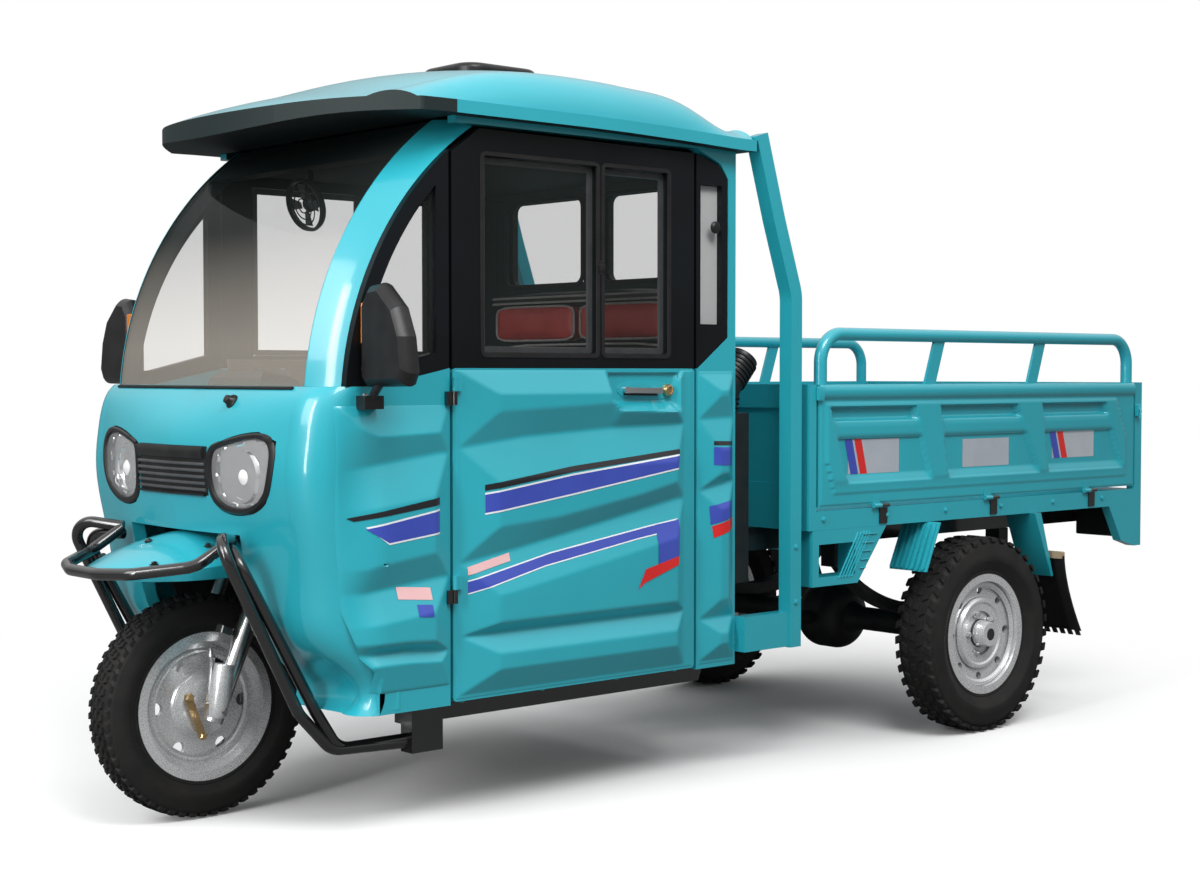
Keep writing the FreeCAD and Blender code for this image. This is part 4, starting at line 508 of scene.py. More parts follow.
DOOR_FOLDS = [
    ([(-406, 915), (-623, 924), (-797, 932), (-819, 912), (-1022, 908)],
     [(-369, 839), (-544, 859), (-830, 875), (-1022, 880)], 90),
    ([(-415, 659), (-628, 676), (-887, 717), (-1022, 746)],
     [(-373, 586), (-518, 608), (-736, 647), (-1016, 699)], 90),
    ([(-383, 449), (-1022, 452)], [(-383, 424), (-1011, 426)], 44),
]
NOSE_FOLDS = [
    ([(-60, 876), (-90, 885), (-308, 898)], [(-40, 795), (-308, 829)], 90),
    ([(-114, 590), (-132, 596), (-307, 620)], [(-114, 538), (-307, 560)], 70),
    ([(-213, 429), (-306, 424)], [(-213, 408), (-306, 400)], 40),
]
REAR_FOLDS = [
    ([(-1094, 945), (-1205, 947)], [(-1094, 889), (-1205, 892)], 80),
    ([(-1102, 749), (-1195, 759)], [(-1102, 715), (-1195, 734)], 60),
    ([(-1099, 443), (-1205, 446)], [(-1099, 398), (-1205, 400)], 40),
]
CREST = 26
SKIN_GAP = 0.9
SIDE_Y = 500


def smooth_step(share):
    """0 to 1 with level ends."""
    share = min(max(share, 0), 1)
    return share * share * (3 - 2 * share)


def fold_share(folds, x, z):
    """1 on the flat, 0 in the crease below each lip."""
    share = 1.0
    for lip, crease, rise in folds:
        top, foot = along(lip, x), along(crease, x)
        if foot <= z <= top:
            share = min(share, (z - foot) / (top - foot))
        elif foot - rise <= z < foot:
            share = min(share, (foot - z) / rise)
    return share


def soft_fold(folds, x, z):
    """The same, with its lips and creases rounded over 8 mm."""
    return sum(fold_share(folds, x, z + step) for step in (-4, -2, 0, 2, 4)) / 5


def door_face(x, z):
    """Height of the door's pressing over its flat border."""
    edge = min((-360 - x) * 0.27, (x + 1042) * 0.6, (1007 - z) * 0.5, (z - 294) * 0.5)
    height = min(CREST * soft_fold(DOOR_FOLDS, x, z), max(edge, 0))
    foot = along([(-797, 940), (-819, 918), (-1022, 914)], x)
    inside = min(x + 1024, -795 - x, 1004 - z, z - foot)
    if inside > -5:
        height = min(height, max(height - (inside + 5) * 1.5, -9))
    return SIDE_Y + SKIN_GAP + height


def rear_quarter_face(x, z):
    """The same behind the door, where the folds are shallower."""
    edge = min((-1092 - x) * 0.35, (x + 1212) * 0.6, (1000 - z) * 0.5, (z - 294) * 0.5)
    return SIDE_Y + SKIN_GAP + min(CREST * 0.8 * soft_fold(REAR_FOLDS, x, z), max(edge, 0))


NOSE = search("front_fascia", "front_quarter_panels")
NOSE_CHANNELS = [(-308, -40, 790, 902), (-307, -114, 534, 624), (-306, -213, 372, 434)]
NOSE_GRID = {}


def nose_base(x, z):
    """Side of the nose without its channels, found from outside."""
    for rear, front, low, high in NOSE_CHANNELS:
        if rear - 5 < x < front + 8 and low < z < high:
            share = (z - low) / (high - low)
            return nose_base(x, low) * (1 - share) + nose_base(x, high) * share
    key = (round(x, 2), round(z, 2))
    if key not in NOSE_GRID:
        hits = [NOSE.ray_cast(Vector((x + aside, 700, z)), Vector((0, -1, 0)))[0]
                for aside in (0, -2, 2)]
        found = [hit.y for hit in hits if hit and hit.y > 300]
        NOSE_GRID[key] = found[0] if found else 440
    return NOSE_GRID[key]


def nose_face(x, z):
    """Height of the front quarter's pressing, which fades out round the nose."""
    fade = smooth_step((-36 - x) / 120)
    edge = min((x + 333) * 0.5, (930 - z) * 0.3, (z - 318) * 0.25)
    height = min(CREST * fade * soft_fold(NOSE_FOLDS, x, z), max(edge, 0))
    return nose_base(x, z) + SKIN_GAP + height


# Where the side of the nose begins to turn inwards, (z, x) from the top down
NOSE_TURN = [(700, -40), (500, -62), (440, -85), (400, -105), (370, -132), (322, -136)]


def nose_front(z):
    return along(NOSE_TURN, z)


def steps(first, last, step):
    """Even places from first to last, about a step apart."""
    count = max(2, round(abs(last - first) / step) + 1)
    return [first + (last - first) * i / (count - 1) for i in range(count)]


def side_sheet(name, xs, zs, face, body, roll=3.5, front=None):
    """A pressed sheet over a side panel on both sides, its border rolled inwards.
    front gives the sheet's front end at each height, and xs then runs to it."""
    rows = []
    for j, z in enumerate(zs):
        row = []
        reach = (front(z) - xs[0]) / (xs[-1] - xs[0]) if front else 1
        for i, start in enumerate(xs):
            x = xs[0] + (start - xs[0]) * reach
            border = i in (0, len(xs) - 1) or j in (0, len(zs) - 1)
            row.append(Vector((x, face(x, z) - (roll if border else 0), z)))
        rows.append(row)
    pair(name, Form().grid(rows), PAINT, body, 50, True)


SHEET_ROW = 3.5


def make_side_sheets():
    side_sheet("door_pressing", steps(-347, -1076, 7), steps(284, 1010, SHEET_ROW), door_face,
               "door_{}")
    side_sheet("rear_quarter_pressing", steps(-1088, -1217, 6), steps(284, 1008, SHEET_ROW),
               rear_quarter_face, ROOT)
    side_sheet("front_quarter_pressing", steps(-336, -40, 6), steps(322, 934, SHEET_ROW),
               nose_face, ROOT, roll=1.6, front=nose_front)


# Stripes: how far film stands off the sheet, and the coarsest mesh that follows the folds
FILM_LIFT, EDGE_LIFT, PATCH_LIFT = 1.1, 0.75, 1.4
FILM_COLUMN, FILM_ROW = 5, 2.5


def band(name, upper, lower, face, finish, body, lift=FILM_LIFT, columns=None, rows=6):
    """A printed band between two lines on a side panel, on both sides."""
    columns = max(columns or 3, int(abs(upper[-1][0] - upper[0][0]) / FILM_COLUMN))
    rows = max(rows, int(max(top[1] - foot[1] for top, foot in zip(upper, lower)) / FILM_ROW))
    tops = resampled([(x, 0, z) for x, z in upper], columns)
    feet = resampled([(x, 0, z) for x, z in lower], columns)
    grid = []
    for row in range(rows + 1):
        line = []
        for top, foot in zip(tops, feet):
            point = foot.lerp(top, row / rows)
            line.append(Vector((point.x, face(point.x, point.z) + lift, point.z)))
        grid.append(line)
    pair(name, Form().grid(grid), finish, body, 60, True)


def widened(upper, lower, margin):
    """The same band with a margin above and below."""
    return [(x, z + margin) for x, z in upper], [(x, z - margin) for x, z in lower]


def make_stripes():
    upper = [(-420, 734), (-665, 768), (-1010, 803)]
    lower = [(-420, 694), (-665, 727), (-1004, 775)]
    band("door_band_edge", *widened(upper, lower, 4), door_face, WHITE_LINE, "door_{}", EDGE_LIFT)
    band("door_blue_band", upper, lower, door_face, BLUE_STRIPE, "door_{}")
    band("door_black_line", [(-420, 756), (-665, 789), (-1010, 819)],
         [(-420, 743), (-665, 776), (-1010, 808)], door_face, BLACK_STRIPE, "door_{}", rows=3)
    upper = [(-380, 544), (-612, 592), (-916, 637), (-1010, 649)]
    lower = [(-380, 519), (-591, 567), (-880, 613), (-935, 620)]
    band("door_lower_band_edge", *widened(upper, lower, 3), door_face, WHITE_LINE, "door_{}",
         EDGE_LIFT)
    band("door_lower_blue_band", upper, lower, door_face, BLUE_STRIPE, "door_{}", rows=4)
    band("door_pale_band", [(-380, 576), (-498, 601)], [(-380, 558), (-498, 583)], door_face,
         PINK_STRIPE, "door_{}", rows=3)
    band("door_blue_patch", [(-934, 640), (-1010, 649)], [(-934, 539), (-1010, 564)], door_face,
         BLUE_STRIPE, "door_{}", PATCH_LIFT, rows=14)
    band("door_red_patch", [(-893, 538), (-1004, 563)], [(-868, 491), (-890, 506), (-1005, 543)],
         door_face, RED_STRIPE, "door_{}", 1.7, rows=5)
    upper, lower = [(-105, 675), (-294, 706)], [(-158, 644), (-294, 660)]
    band("nose_band_edge", *widened(upper, lower, 4), nose_face, WHITE_LINE, ROOT, EDGE_LIFT)
    band("nose_blue_band", upper, lower, nose_face, BLUE_STRIPE, ROOT)
    band("nose_black_line", [(-64, 699), (-294, 735)], [(-80, 692), (-294, 719)], nose_face,
         BLACK_STRIPE, ROOT, rows=3)
    band("nose_pink_patch", [(-191, 547), (-277, 540)], [(-191, 521), (-277, 514)], nose_face,
         PINK_STRIPE, ROOT, rows=4)
    band("nose_blue_patch", [(-235, 507), (-274, 504)], [(-235, 481), (-274, 478)], nose_face,
         BLUE_STRIPE, ROOT, rows=4)
    band("rear_blue_band", [(-1131, 820), (-1200, 818)], [(-1131, 776), (-1200, 773)],
         rear_quarter_face, BLUE_STRIPE, ROOT)
    band("rear_black_line", [(-1131, 835), (-1200, 833)], [(-1131, 825), (-1200, 823)],
         rear_quarter_face, BLACK_STRIPE, ROOT, rows=3)
    band("rear_blue_patch", [(-1119, 675), (-1199, 689)], [(-1123, 630), (-1199, 647)],
         rear_quarter_face, BLUE_STRIPE, ROOT, rows=5)
    band("rear_red_patch", [(-1126, 626), (-1203, 646)], [(-1131, 597), (-1203, 619)],
         rear_quarter_face, RED_STRIPE, ROOT, rows=5)


# Load bed sides: three bays between leaning ribs under a rolled rail
BED_Y = 543
BAYS = [(-1521, -1867, -1587, -1936), (-1970, -2322, -2006, -2430), (-2438, -2764, -2469, -2853)]
BAY_TOP, BAY_FOOT = 911, 716


def in_bay(x, z):
    """Distance inside the nearest bay from its leaning ends."""
    share = (BAY_TOP - z) / (BAY_TOP - BAY_FOOT)
    best = -1000
    for top_front, top_rear, foot_front, foot_rear in BAYS:
        front = top_front + (foot_front - top_front) * share
        rear = top_rear + (foot_rear - top_rear) * share
        best = max(best, min(front - x, x - rear))
    return best


# (z, proud) down a bay and down a rib
BAY_SECTION = [(972, 3), (966, 8), (957, 11), (948, 11), (939, 8), (932, 2), (928, 0), (913, 0),
               (909, -12), (882, -12), (876, 1), (862, 3), (842, 3), (834, 1), (828, -6), (736, -6),
               (724, -1), (716, 2), (700, 4), (690, 4), (686, 1), (656, 1)]
RIB_SECTION = [(972, 3), (966, 8), (957, 11), (948, 11), (939, 8), (932, 2), (928, 1), (918, 5),
               (722, 7), (712, 5), (700, 4), (690, 4), (686, 1), (656, 1)]


def bed_face(x, z):
    """Side of the drop side's pressing; past the end bays only its rail stands proud."""
    inside = smooth_step(in_bay(x, z) / 9) if BAY_FOOT < z < BAY_TOP + 4 else 0
    low, high = along(BAY_SECTION, z), along(RIB_SECTION, z)
    ribbed = in_bay(x, z) > -60 and -2870 < x < -1505
    rib = high if ribbed else min(high, 1 + max(high - 1, 0) * (z > 926))
    return BED_Y + SKIN_GAP + rib * (1 - inside) + low * inside


def make_bed_sheets():
    side_sheet("bed_side_pressing", steps(-1482, -2916, 7), steps(657, 971, SHEET_ROW), bed_face,
               "drop_side_{}")
    plates = [(-1600, -1806, 829, 737), (-2080, -2292, 820, 740), (-2501, -2712, 832, 752)]
    for i, (front, rear, top, foot) in enumerate(plates):
        band("bed_plate_%d" % i, [(front, top - 2), (rear, top - 2)], [(front, foot), (rear, foot)],
             bed_face, SILVER_PLATE, "drop_side_{}", 0.5, 12, 6)
        if i == 1:
            continue
        for name, finish, near, far in (("bed_blue_bar", BLUE_STRIPE, 14, -16),
                                        ("bed_red_bar", RED_STRIPE, -24, -52)):
            band("%s_%d" % (name, i), [(front + near, top), (front + far, top)],
                 [(front + near - 24, foot), (front + far - 24, foot)], bed_face, finish,
                 "drop_side_{}", 0.8, 4, 6)


# Wheels
FRONT_AXLE = (0, 0, 252)


def rear_hub(side):
    return Vector((-2150, side * 525, 272))


def tread_block(form, centre, radius, angle, across, long, wide, height, lean=0.0):
    """One lug on the crown, tapered towards its top; across is its place over the width."""
    rings = []
    for level, share in ((-2, 1.0), (height * 0.75, 0.94), (height, 0.8)):
        ring = []
        for along_share, across_share in ((-1, -1), (1, -1), (1, 1), (-1, 1)):
            turn = angle + (along_share * long / 2 * share + across_share * lean) / radius
            out = radius + level
            ring.append(Vector(centre) + Vector((math.cos(turn) * out,
                                                 across + across_share * wide / 2 * share,
                                                 math.sin(turn) * out)))
        rings.append(ring)
    form.rings(rings)


def make_tyre(name, node, body, centre, radius, half, seat, rim_half, rows):
    """Carcass with bead rings on the walls and rows of lugs on the crown. A row is
    (count, place across, length, width, height, lean, share of a step turned)."""
    waist = (seat + radius) / 2
    wall = [(seat + 1, rim_half - 2), (seat + 9, rim_half + 3), (seat + 18, rim_half + 4),
            (seat + 22, rim_half + 6), (seat + 25, rim_half + 5), (waist - 8, half - 2.2),
            (waist - 4, half - 0.4), (waist + 2, half - 1.4), (waist + 8, half - 0.6),
            (waist + 13, half - 2.6), (radius - half * 0.42, half - 4),
            (radius - half * 0.24, half - 8), (radius - 8, half * 0.72), (radius - 6, half * 0.5),
            (radius - 5.5, 0)]
    profile = wall + [(r, -y) for r, y in wall[-2::-1]]
    form = Form().lathe(centre, (0, 1, 0), profile + [profile[0]], 96, caps=False)
    for count, across, long, wide, height, lean, phase in rows:
        drop = 0 if abs(across) < half * 0.6 else 5
        for i in range(count):
            angle = math.tau * (i + phase) / count
            tread_block(form, centre, radius - 6 - drop, angle, across, long, wide,
                        height + drop * 0.2, lean)
    piece = make(name, form, TYRE, body, 40)
    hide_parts(node)


def bolt_ring(form, centre, side, distance, count, radius, size, height):
    """Hexagon nuts on washers, standing on a wheel's face."""
    for i in range(count):
        angle = math.tau * i / count
        place = Vector(centre) + Vector((math.cos(angle) * radius, side * distance,
                                         math.sin(angle) * radius))
        form.lathe(place, (0, side, 0), [(size * 1.35, -0.5), (size * 1.35, 1.2), (size, 1.4)], 16)
        form.lathe(place, (0, side, 0), [(size, 1.2), (size, height - 1), (size * 0.85, height),
                                         (size * 0.5, height), (size * 0.42, height + 3)], 6)


def make_wheels():
    rows = [(56, -36, 15, 13, 6, 3, 0), (56, 36, 15, 13, 6, -3, 0.5),
            (56, -18, 15, 12, 6, -2, 0.5), (56, 18, 15, 12, 6, 2, 0), (56, 0, 15, 12, 6, 0, 0.25)]
    make_tyre("front_tyre_tread", "front_tyre", "front_wheel", FRONT_AXLE, 252, 49, 152, 32, rows)
    rows = [(40, -50, 22, 20, 7, 4, 0), (40, 50, 22, 20, 7, -4, 0.5), (40, -25, 24, 19, 6, -4, 0.5),
            (40, 25, 24, 19, 6, 4, 0), (40, 0, 20, 18, 6, 0, 0.25)]
    for side, word in SIDES:
        make_tyre("rear_tyre_tread_" + word, "rear_tyre_" + word, "rear_wheel_" + word,
                  rear_hub(side), 272, 62.5, 152, 40, rows)
    make_front_hub()
    make_rear_hubs()


def make_front_hub():
    form = Form()
    for side in (1, -1):
        face = (0, side * 6.2, FRONT_AXLE[2])
        form.lathe(face, (0, side, 0),
                   [(128, -1), (128, 2), (124, 5), (119, 5), (115, 2), (112, 1.5)], 72, caps=False)
        form.lathe(face, (0, side, 0),
                   [(76, -1), (76, 3), (72, 8), (46, 12), (40, 20), (38, 21)], 48)
    make("front_wheel_beads", form, ALLOY, "front_wheel", 30)
    form = Form()
    for side in (1, -1):
        bolt_ring(form, FRONT_AXLE, side, 13, 5, 58, 6.5, 6)
    make("front_wheel_nuts", form, BRIGHT, "front_wheel", 30)


def make_rear_hubs():
    for side, word in SIDES:
        centre = rear_hub(side)
        face = centre + Vector((0, side * 22, 0))
        form = Form().lathe(face, (0, side, 0),
                            [(146, 6), (146, 10), (142, 13), (136, 13), (131, 8), (129, 7)], 72,
                            caps=False)
        form.lathe(face, (0, side, 0), [(100, -1), (99, 4), (94, 9), (88, 9), (83, 5), (62, 4)], 64,
                   caps=False)
        make("rear_wheel_beads_" + word, form, ALLOY, "rear_wheel_" + word, 30)
        form = Form().lathe(face, (0, side, 0), [(40, -2), (40, 4), (36, 8), (30, 8), (28, 20),
                                                 (26, 23), (10, 23), (8, 27)], 40)
        make("rear_hub_cap_" + word, form, DARK_STEEL, "rear_wheel_" + word, 30)
        form = Form()
        bolt_ring(form, centre, side, 24, 5, 56, 8.5, 10)
        form.lathe(face + Vector((0, side * 27, 0)), (0, side, 0),
                   [(7, -2), (7, 3), (5, 5), (2, 6)], 12)
        make("rear_wheel_nuts_" + word, form, BRIGHT, "rear_wheel_" + word, 30)


# Headlamps and grille
FRONT = search("front_fascia", "headlamps", "grille")
LAMP_OUTLINE = [(155, 748), (192, 705), (284, 699), (352, 728), (376, 780), (383, 858), (324, 877),
                (192, 852), (155, 836)]
LAMP_CENTRE = Vector((268, 788))


def nose_x(y, z):
    """How far forward the nose is at a place, found from ahead."""
    hit = FRONT.ray_cast(Vector((600, y, z)), Vector((-1, 0, 0)))[0]
    return hit.x if hit else 0


def lamp_ring(share, sink):
    """Points on the nose round a headlamp, at a share of its outline."""
    ring = []
    for point in rounded([(y, z, 0) for y, z in LAMP_OUTLINE], 3):
        y = LAMP_CENTRE.x + (point.x - LAMP_CENTRE.x) * share
        z = LAMP_CENTRE.y + (point.y - LAMP_CENTRE.y) * share
        ring.append(Vector((nose_x(y, z) + sink, y, z)))
    return ring


def make_headlamps():
    bezel = Form().rings([lamp_ring(1.035, -3), lamp_ring(1.04, 2), lamp_ring(0.99, 5),
                          lamp_ring(0.90, 4), lamp_ring(0.86, -2), lamp_ring(0.84, -16)],
                         caps=False)
    pair("headlamp_bezel", bezel, PLASTIC)
    rings = [lamp_ring(0.87, -10)]
    for share, sink in ((0.80, -16), (0.66, -24), (0.50, -38), (0.34, -52), (0.16, -60)):
        ring = lamp_ring(share, sink)
        facet = share > 0.2
        rings.append([point + Vector((7 if i % 6 < 3 else -3, 0, 0)) * facet
                      for i, point in enumerate(ring)])
    bowl = Form().rings(rings)
    pair("headlamp_bowl", bowl, CHROME, sharp=20)
    centre = Vector((nose_x(268, 782) - 20, 262, 780))
    ring = Form().lathe(centre, (1, 0, 0), [(58, -6), (60, 2), (56, 8), (50, 8), (47, 0), (46, -8)],
                        40, False)
    pair("headlamp_ring", ring, CHROME)
    bulb = Form().lathe(centre + Vector((-28, 0, 0)), (1, 0, 0),
                        [(12, 0), (12, 10), (16, 14), (20, 24), (18, 34), (10, 40), (3, 42)], 24)
    pair("headlamp_bulb", bulb, LIT)
    small = Form().lathe((nose_x(325, 745) - 16, 322, 748), (1, 0, 0),
                         [(16, -6), (17, 2), (14, 5), (9, 2), (3, -2)], 20)
    pair("headlamp_side_light", small, LIT)
    cover = Form().rings([lamp_ring(0.87, -1), lamp_ring(0.80, 4), lamp_ring(0.6, 7),
                          lamp_ring(0.3, 8.5), lamp_ring(0.08, 9)])
    for side, word in SIDES:
        piece = make("headlamp_cover_" + word, cover.on_side(side), LENS, sharp=60)
        if side == 1:
            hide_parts("headlamps")


BAR_STEPS = 30


def nose_bar(form, half, z, tall, proud):
    """A bar across the nose that follows its curve, let 2 mm into it."""
    rings = []
    for i in range(BAR_STEPS + 1):
        y = -half + 2 * half * i / BAR_STEPS
        x = nose_x(y, z)
        rings.append([Vector((x + out, y, z + up)) for out, up in (
            (-2.0, -tall / 2), (proud * 0.7, -tall / 2), (proud, -tall / 4), (proud, tall / 5),
            (proud * 0.6, tall / 2), (-2.0, tall / 2))])
    form.rings(rings)


def make_grille():
    form = Form()
    for z in (747, 761, 775, 789, 803):
        nose_bar(form, 149, z, 7, 6)
    make("grille_bars", form, GREY_TRIM)
    form = Form()
    nose_bar(form, 152, 828, 26, 8)
    nose_bar(form, 152, 736, 6, 8)
    make("grille_brow", form, PLASTIC)


# Cab trim and window surrounds
def reshaped(name, node, move, finish, body):
    """A copy of a CAD shape with its points moved, which takes the shape's place."""
    form = Form()
    mesh = NODES[node].data
    form.points = [move(station(vertex.co)) for vertex in mesh.vertices]
    form.faces = [list(polygon.vertices) for polygon in mesh.polygons]
    piece = make(name, form, finish, body, 35, open_to=(0, 0, 0))
    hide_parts(node)


def make_door_linings_and_painted_light():
    """A sheet of painted shade under the roof, boards inside the doors, the bar between the door's
    panes, and a pale sheet of painted light on the rear quarter pane.
    """
    # Painted shade: a dark teal sheet under the roof
    head = Form().slab([(-1185, -432, 1500), (-390, -400, 1500), (-390, 400, 1500),
                        (-1185, 432, 1500)], (0, 0, 8), 2)
    make("roof_shade_sheet", head, CAB_SHADE_SHEET)
    board = Form().slab([(-1066, 463, 330), (-352, 463, 330), (-352, 463, 1006), (-352, 463, 1036),
                         (-1066, 463, 1036)], (0, 5, 0), 1.5)
    for x in (-500, -709, -918):
        board.block((x - 70, 459, 560), (x + 70, 464, 900), 2)
    pair("door_board", board, TRIM_BOARD, "door_{}")

    def widen(point):
        """Moves the front edge of the bar between the panes to the rear."""
        share = min(max((-600 - point.x) / 121, 0), 1) if point.x > -722.5 else 0
        return Vector((point.x - 46 * share, point.y, point.z))
    for word in ("left", "right"):
        reshaped("door_window_surround_" + word, "door_window_frame_" + word, widen, BLACK_FRAME,
                 "door_" + word)
        reshaped("door_panes_" + word, "door_glass_" + word, widen, GLASS, "door_" + word)
    # Painted light: a pale sheet on the rear quarter pane for the bright backdrop seen through it
    film = Form().block((-1172, 480.6, 1121), (-1102, 482.4, 1459), 0.5)
    pair("rear_quarter_painted_light", film, PANE_PAINTED_LIGHT)


CORNER_STEPS = 6


def ring_loop(x0, x1, z0, z1, corner, place):
    """Points round a rounded rectangle; place(u, v) sets them in the model."""
    points = []
    for cx, cz, start in ((x1 - corner, z1 - corner, 0), (x0 + corner, z1 - corner, 90),
                          (x0 + corner, z0 + corner, 180), (x1 - corner, z0 + corner, 270)):
        for i in range(CORNER_STEPS + 1):
            turn = math.radians(start + 90 * i / CORNER_STEPS)
            points.append(place(cx + math.cos(turn) * corner, cz + math.sin(turn) * corner))
    return points


def frame_ring(form, low_x, high_x, low_z, high_z, corner, wide, place, near, far):
    """A flat frame with a rounded opening, between two depths."""
    def loop(inset, depth):
        return ring_loop(low_x + inset, high_x - inset, low_z + inset, high_z - inset,
                         max(corner - inset, 1), lambda u, v: place(u, v, depth))
    rings = [loop(0, near), loop(1, far), loop(wide - 1, far), loop(wide, near)]
    form.rings(rings + [rings[0]], caps=False)


def beside(u, v, depth):
    """A frame's point on the cab's side."""
    return Vector((u, depth, v))


def behind(u, v, depth):
    """A frame's point on the cab's rear wall."""
    return Vector((depth, u, v))


PANES = [(-767, -432), (-994, -786)]
PANE_FOOT, PANE_HEAD = 1044, 1480


def make_window_trim():
    seals, sliders = Form(), Form()
    for rear, front in PANES:
        frame_ring(seals, rear - 7, front + 9, PANE_FOOT - 9, PANE_HEAD + 9, 16, 11, beside, 496,
                   500)
        frame_ring(sliders, rear + 2, front - 2, PANE_FOOT + 2, PANE_HEAD - 2, 9, 15, beside, 476,
                   482)
    pair("door_window_seal", seals, RUBBER, "door_{}")
    pair("door_window_slider", sliders, GREY_TRIM, "door_{}")
    catch = Form().block((-783, 486, 1228), (-771, 501, 1262), 2).block((-786, 498, 1236),
                                                                        (-768, 503, 1254), 2)
    pair("window_catch", catch, PLASTIC, "door_{}")
    knob = Form().lathe((-1147, 496, 1357), (0, 1, 0),
                        [(10, 0), (15, 4), (15, 9), (11, 13), (4, 14)], 20)
    pair("quarter_window_catch", knob, PLASTIC)
    rear = Form()
    for low_y, high_y in ((-372, -32), (32, 372)):
        frame_ring(rear, low_y, high_y, 1234, 1480, 34, 12, behind, -1188.5, -1182)
        frame_ring(rear, low_y, high_y, 1234, 1480, 34, 12, behind, -1206, -1224)
    make("rear_window_seals", rear, RUBBER)
    # Painted shade: dark teal sheets on the posts round the rear panes
    blanks = Form()
    for low_y, high_y in ((-418, -366), (-38, 38), (366, 418)):
        for x, push in ((-1199, 10), (-1207, -8)):
            blanks.slab([(x, low_y, 1240), (x, high_y, 1240), (x, high_y, 1482), (x, low_y, 1482)],
                        (push, 0, 0), 1)
    make("rear_window_posts", blanks, CAB_SHADE_SHEET)


def make_door_handles():
    bar = Form().slab([(-846, 503, 968), (-966, 503, 966), (-966, 503, 952), (-846, 503, 954)],
                      (0, 9, 0), 4)
    for x, z in ((-858, 961), (-955, 959)):
        bar.lathe((x, 490, z), (0, 1, 0), [(9, 0), (8, 12), (8, 18)], 20)
    pair("door_handle", bar, BRIGHT, "door_{}")
    plate = Form().slab(rounded([(-832, 491, 984), (-1010, 491, 981), (-1010, 491, 936),
                                 (-832, 491, 940)]), (0, 2.4, 0), 1)
    pair("door_handle_plate", plate, PAINT, "door_{}")
    slot = Form().slab([(-852, 494, 962), (-960, 494, 960), (-960, 494, 947), (-852, 494, 949)],
                       (0, 2, 0), 1)
    pair("door_handle_slot", slot, PLASTIC, "door_{}")
    lock = Form().lathe((-992, 492, 960), (0, 1, 0), [(15, 0), (15, 8), (12, 13), (9, 14), (8, 11),
                                                      (2, 11)], 28)
    pair("door_lock", lock, BRASS, "door_{}")


def make_nose_trim():
    """Covers over the low seams, the wiper's pivot cap and the seal under the screen."""
    rows = []
    for z in steps(284, 328, 4):
        front, rear = nose_base(-146, z), nose_base(-200, z)
        rows.append([Vector((-146 - 54 * i / 8, front + (rear - front) * i / 8 + 1.2, z))
                     for i in range(9)])
    pair("nose_seam_cover", Form().grid(rows), PAINT, ROOT, 50, True)
    x = nose_x(196, 938)
    cap = Form().lathe((x - 4, 196, 938), (0.9, 0, 0.43),
                       [(17, 0), (16, 6), (11, 11), (9, 20), (5, 22)], 24)
    make("wiper_pivot", cap, PLASTIC)
    sill = Form()
    path = [Vector((nose_x(y, 968) + 1, y, 969)) for y in range(-395, 396, 26)]
    sill.tube(path, 4, 8)
    make("windscreen_foot_seal", sill, RUBBER)


def make_mirror_details():
    outline = [(505, 980), (517, 972), (652, 974), (666, 1000), (654, 1076), (626, 1138),
               (567, 1180), (529, 1176), (505, 1143)]
    centre_y, centre_z = 590, 1074
    ring = [Vector((-140.6, centre_y + (y - centre_y) * 0.86, centre_z + (z - centre_z) * 0.88))
            for y, z in outline]
    glass = Form().slab(rounded(ring), (-2.5, 0, 0), 1.5)
    pair("mirror_glass", glass, CHROME)
    strip = Form().slab([(-121, 504.4, 1058), (-99, 517.2, 1064), (-99, 517.2, 1146),
                         (-121, 504.4, 1152)], (1.8, -3, 0), 1)
    pair("mirror_reflector", strip, AMBER)
    soften = NODES["mirrors"].modifiers.new("soft_edges", "BEVEL")
    soften.width, soften.segments = 0.007, 3
    soften.limit_method, soften.angle_limit = "ANGLE", math.radians(14)
    bolts = Form()
    for x in (-130, -106):
        bolts.lathe((x, 516, 953), (0, 0, 1), [(6, 0), (6, 4), (4, 6), (2, 6)], 6)
    pair("mirror_base_bolts", bolts, BRIGHT)


# Instrument pod, from its foot up: (share of its width, front, rear, half width,
# height in front, height behind)
POD = [(1.0, -90, -205, 120, 950, 950), (0.96, -100, -198, 118, 990, 982),
       (0.84, -118, -188, 112, 1006, 994)]
FAN, FAN_AXIS, FAN_UP = Vector((-395, -160, 1412)), (0.94, 0.1, -0.3), Vector((0.3, 0, 0.94))
FAN_ACROSS = Vector((0, 1, 0))


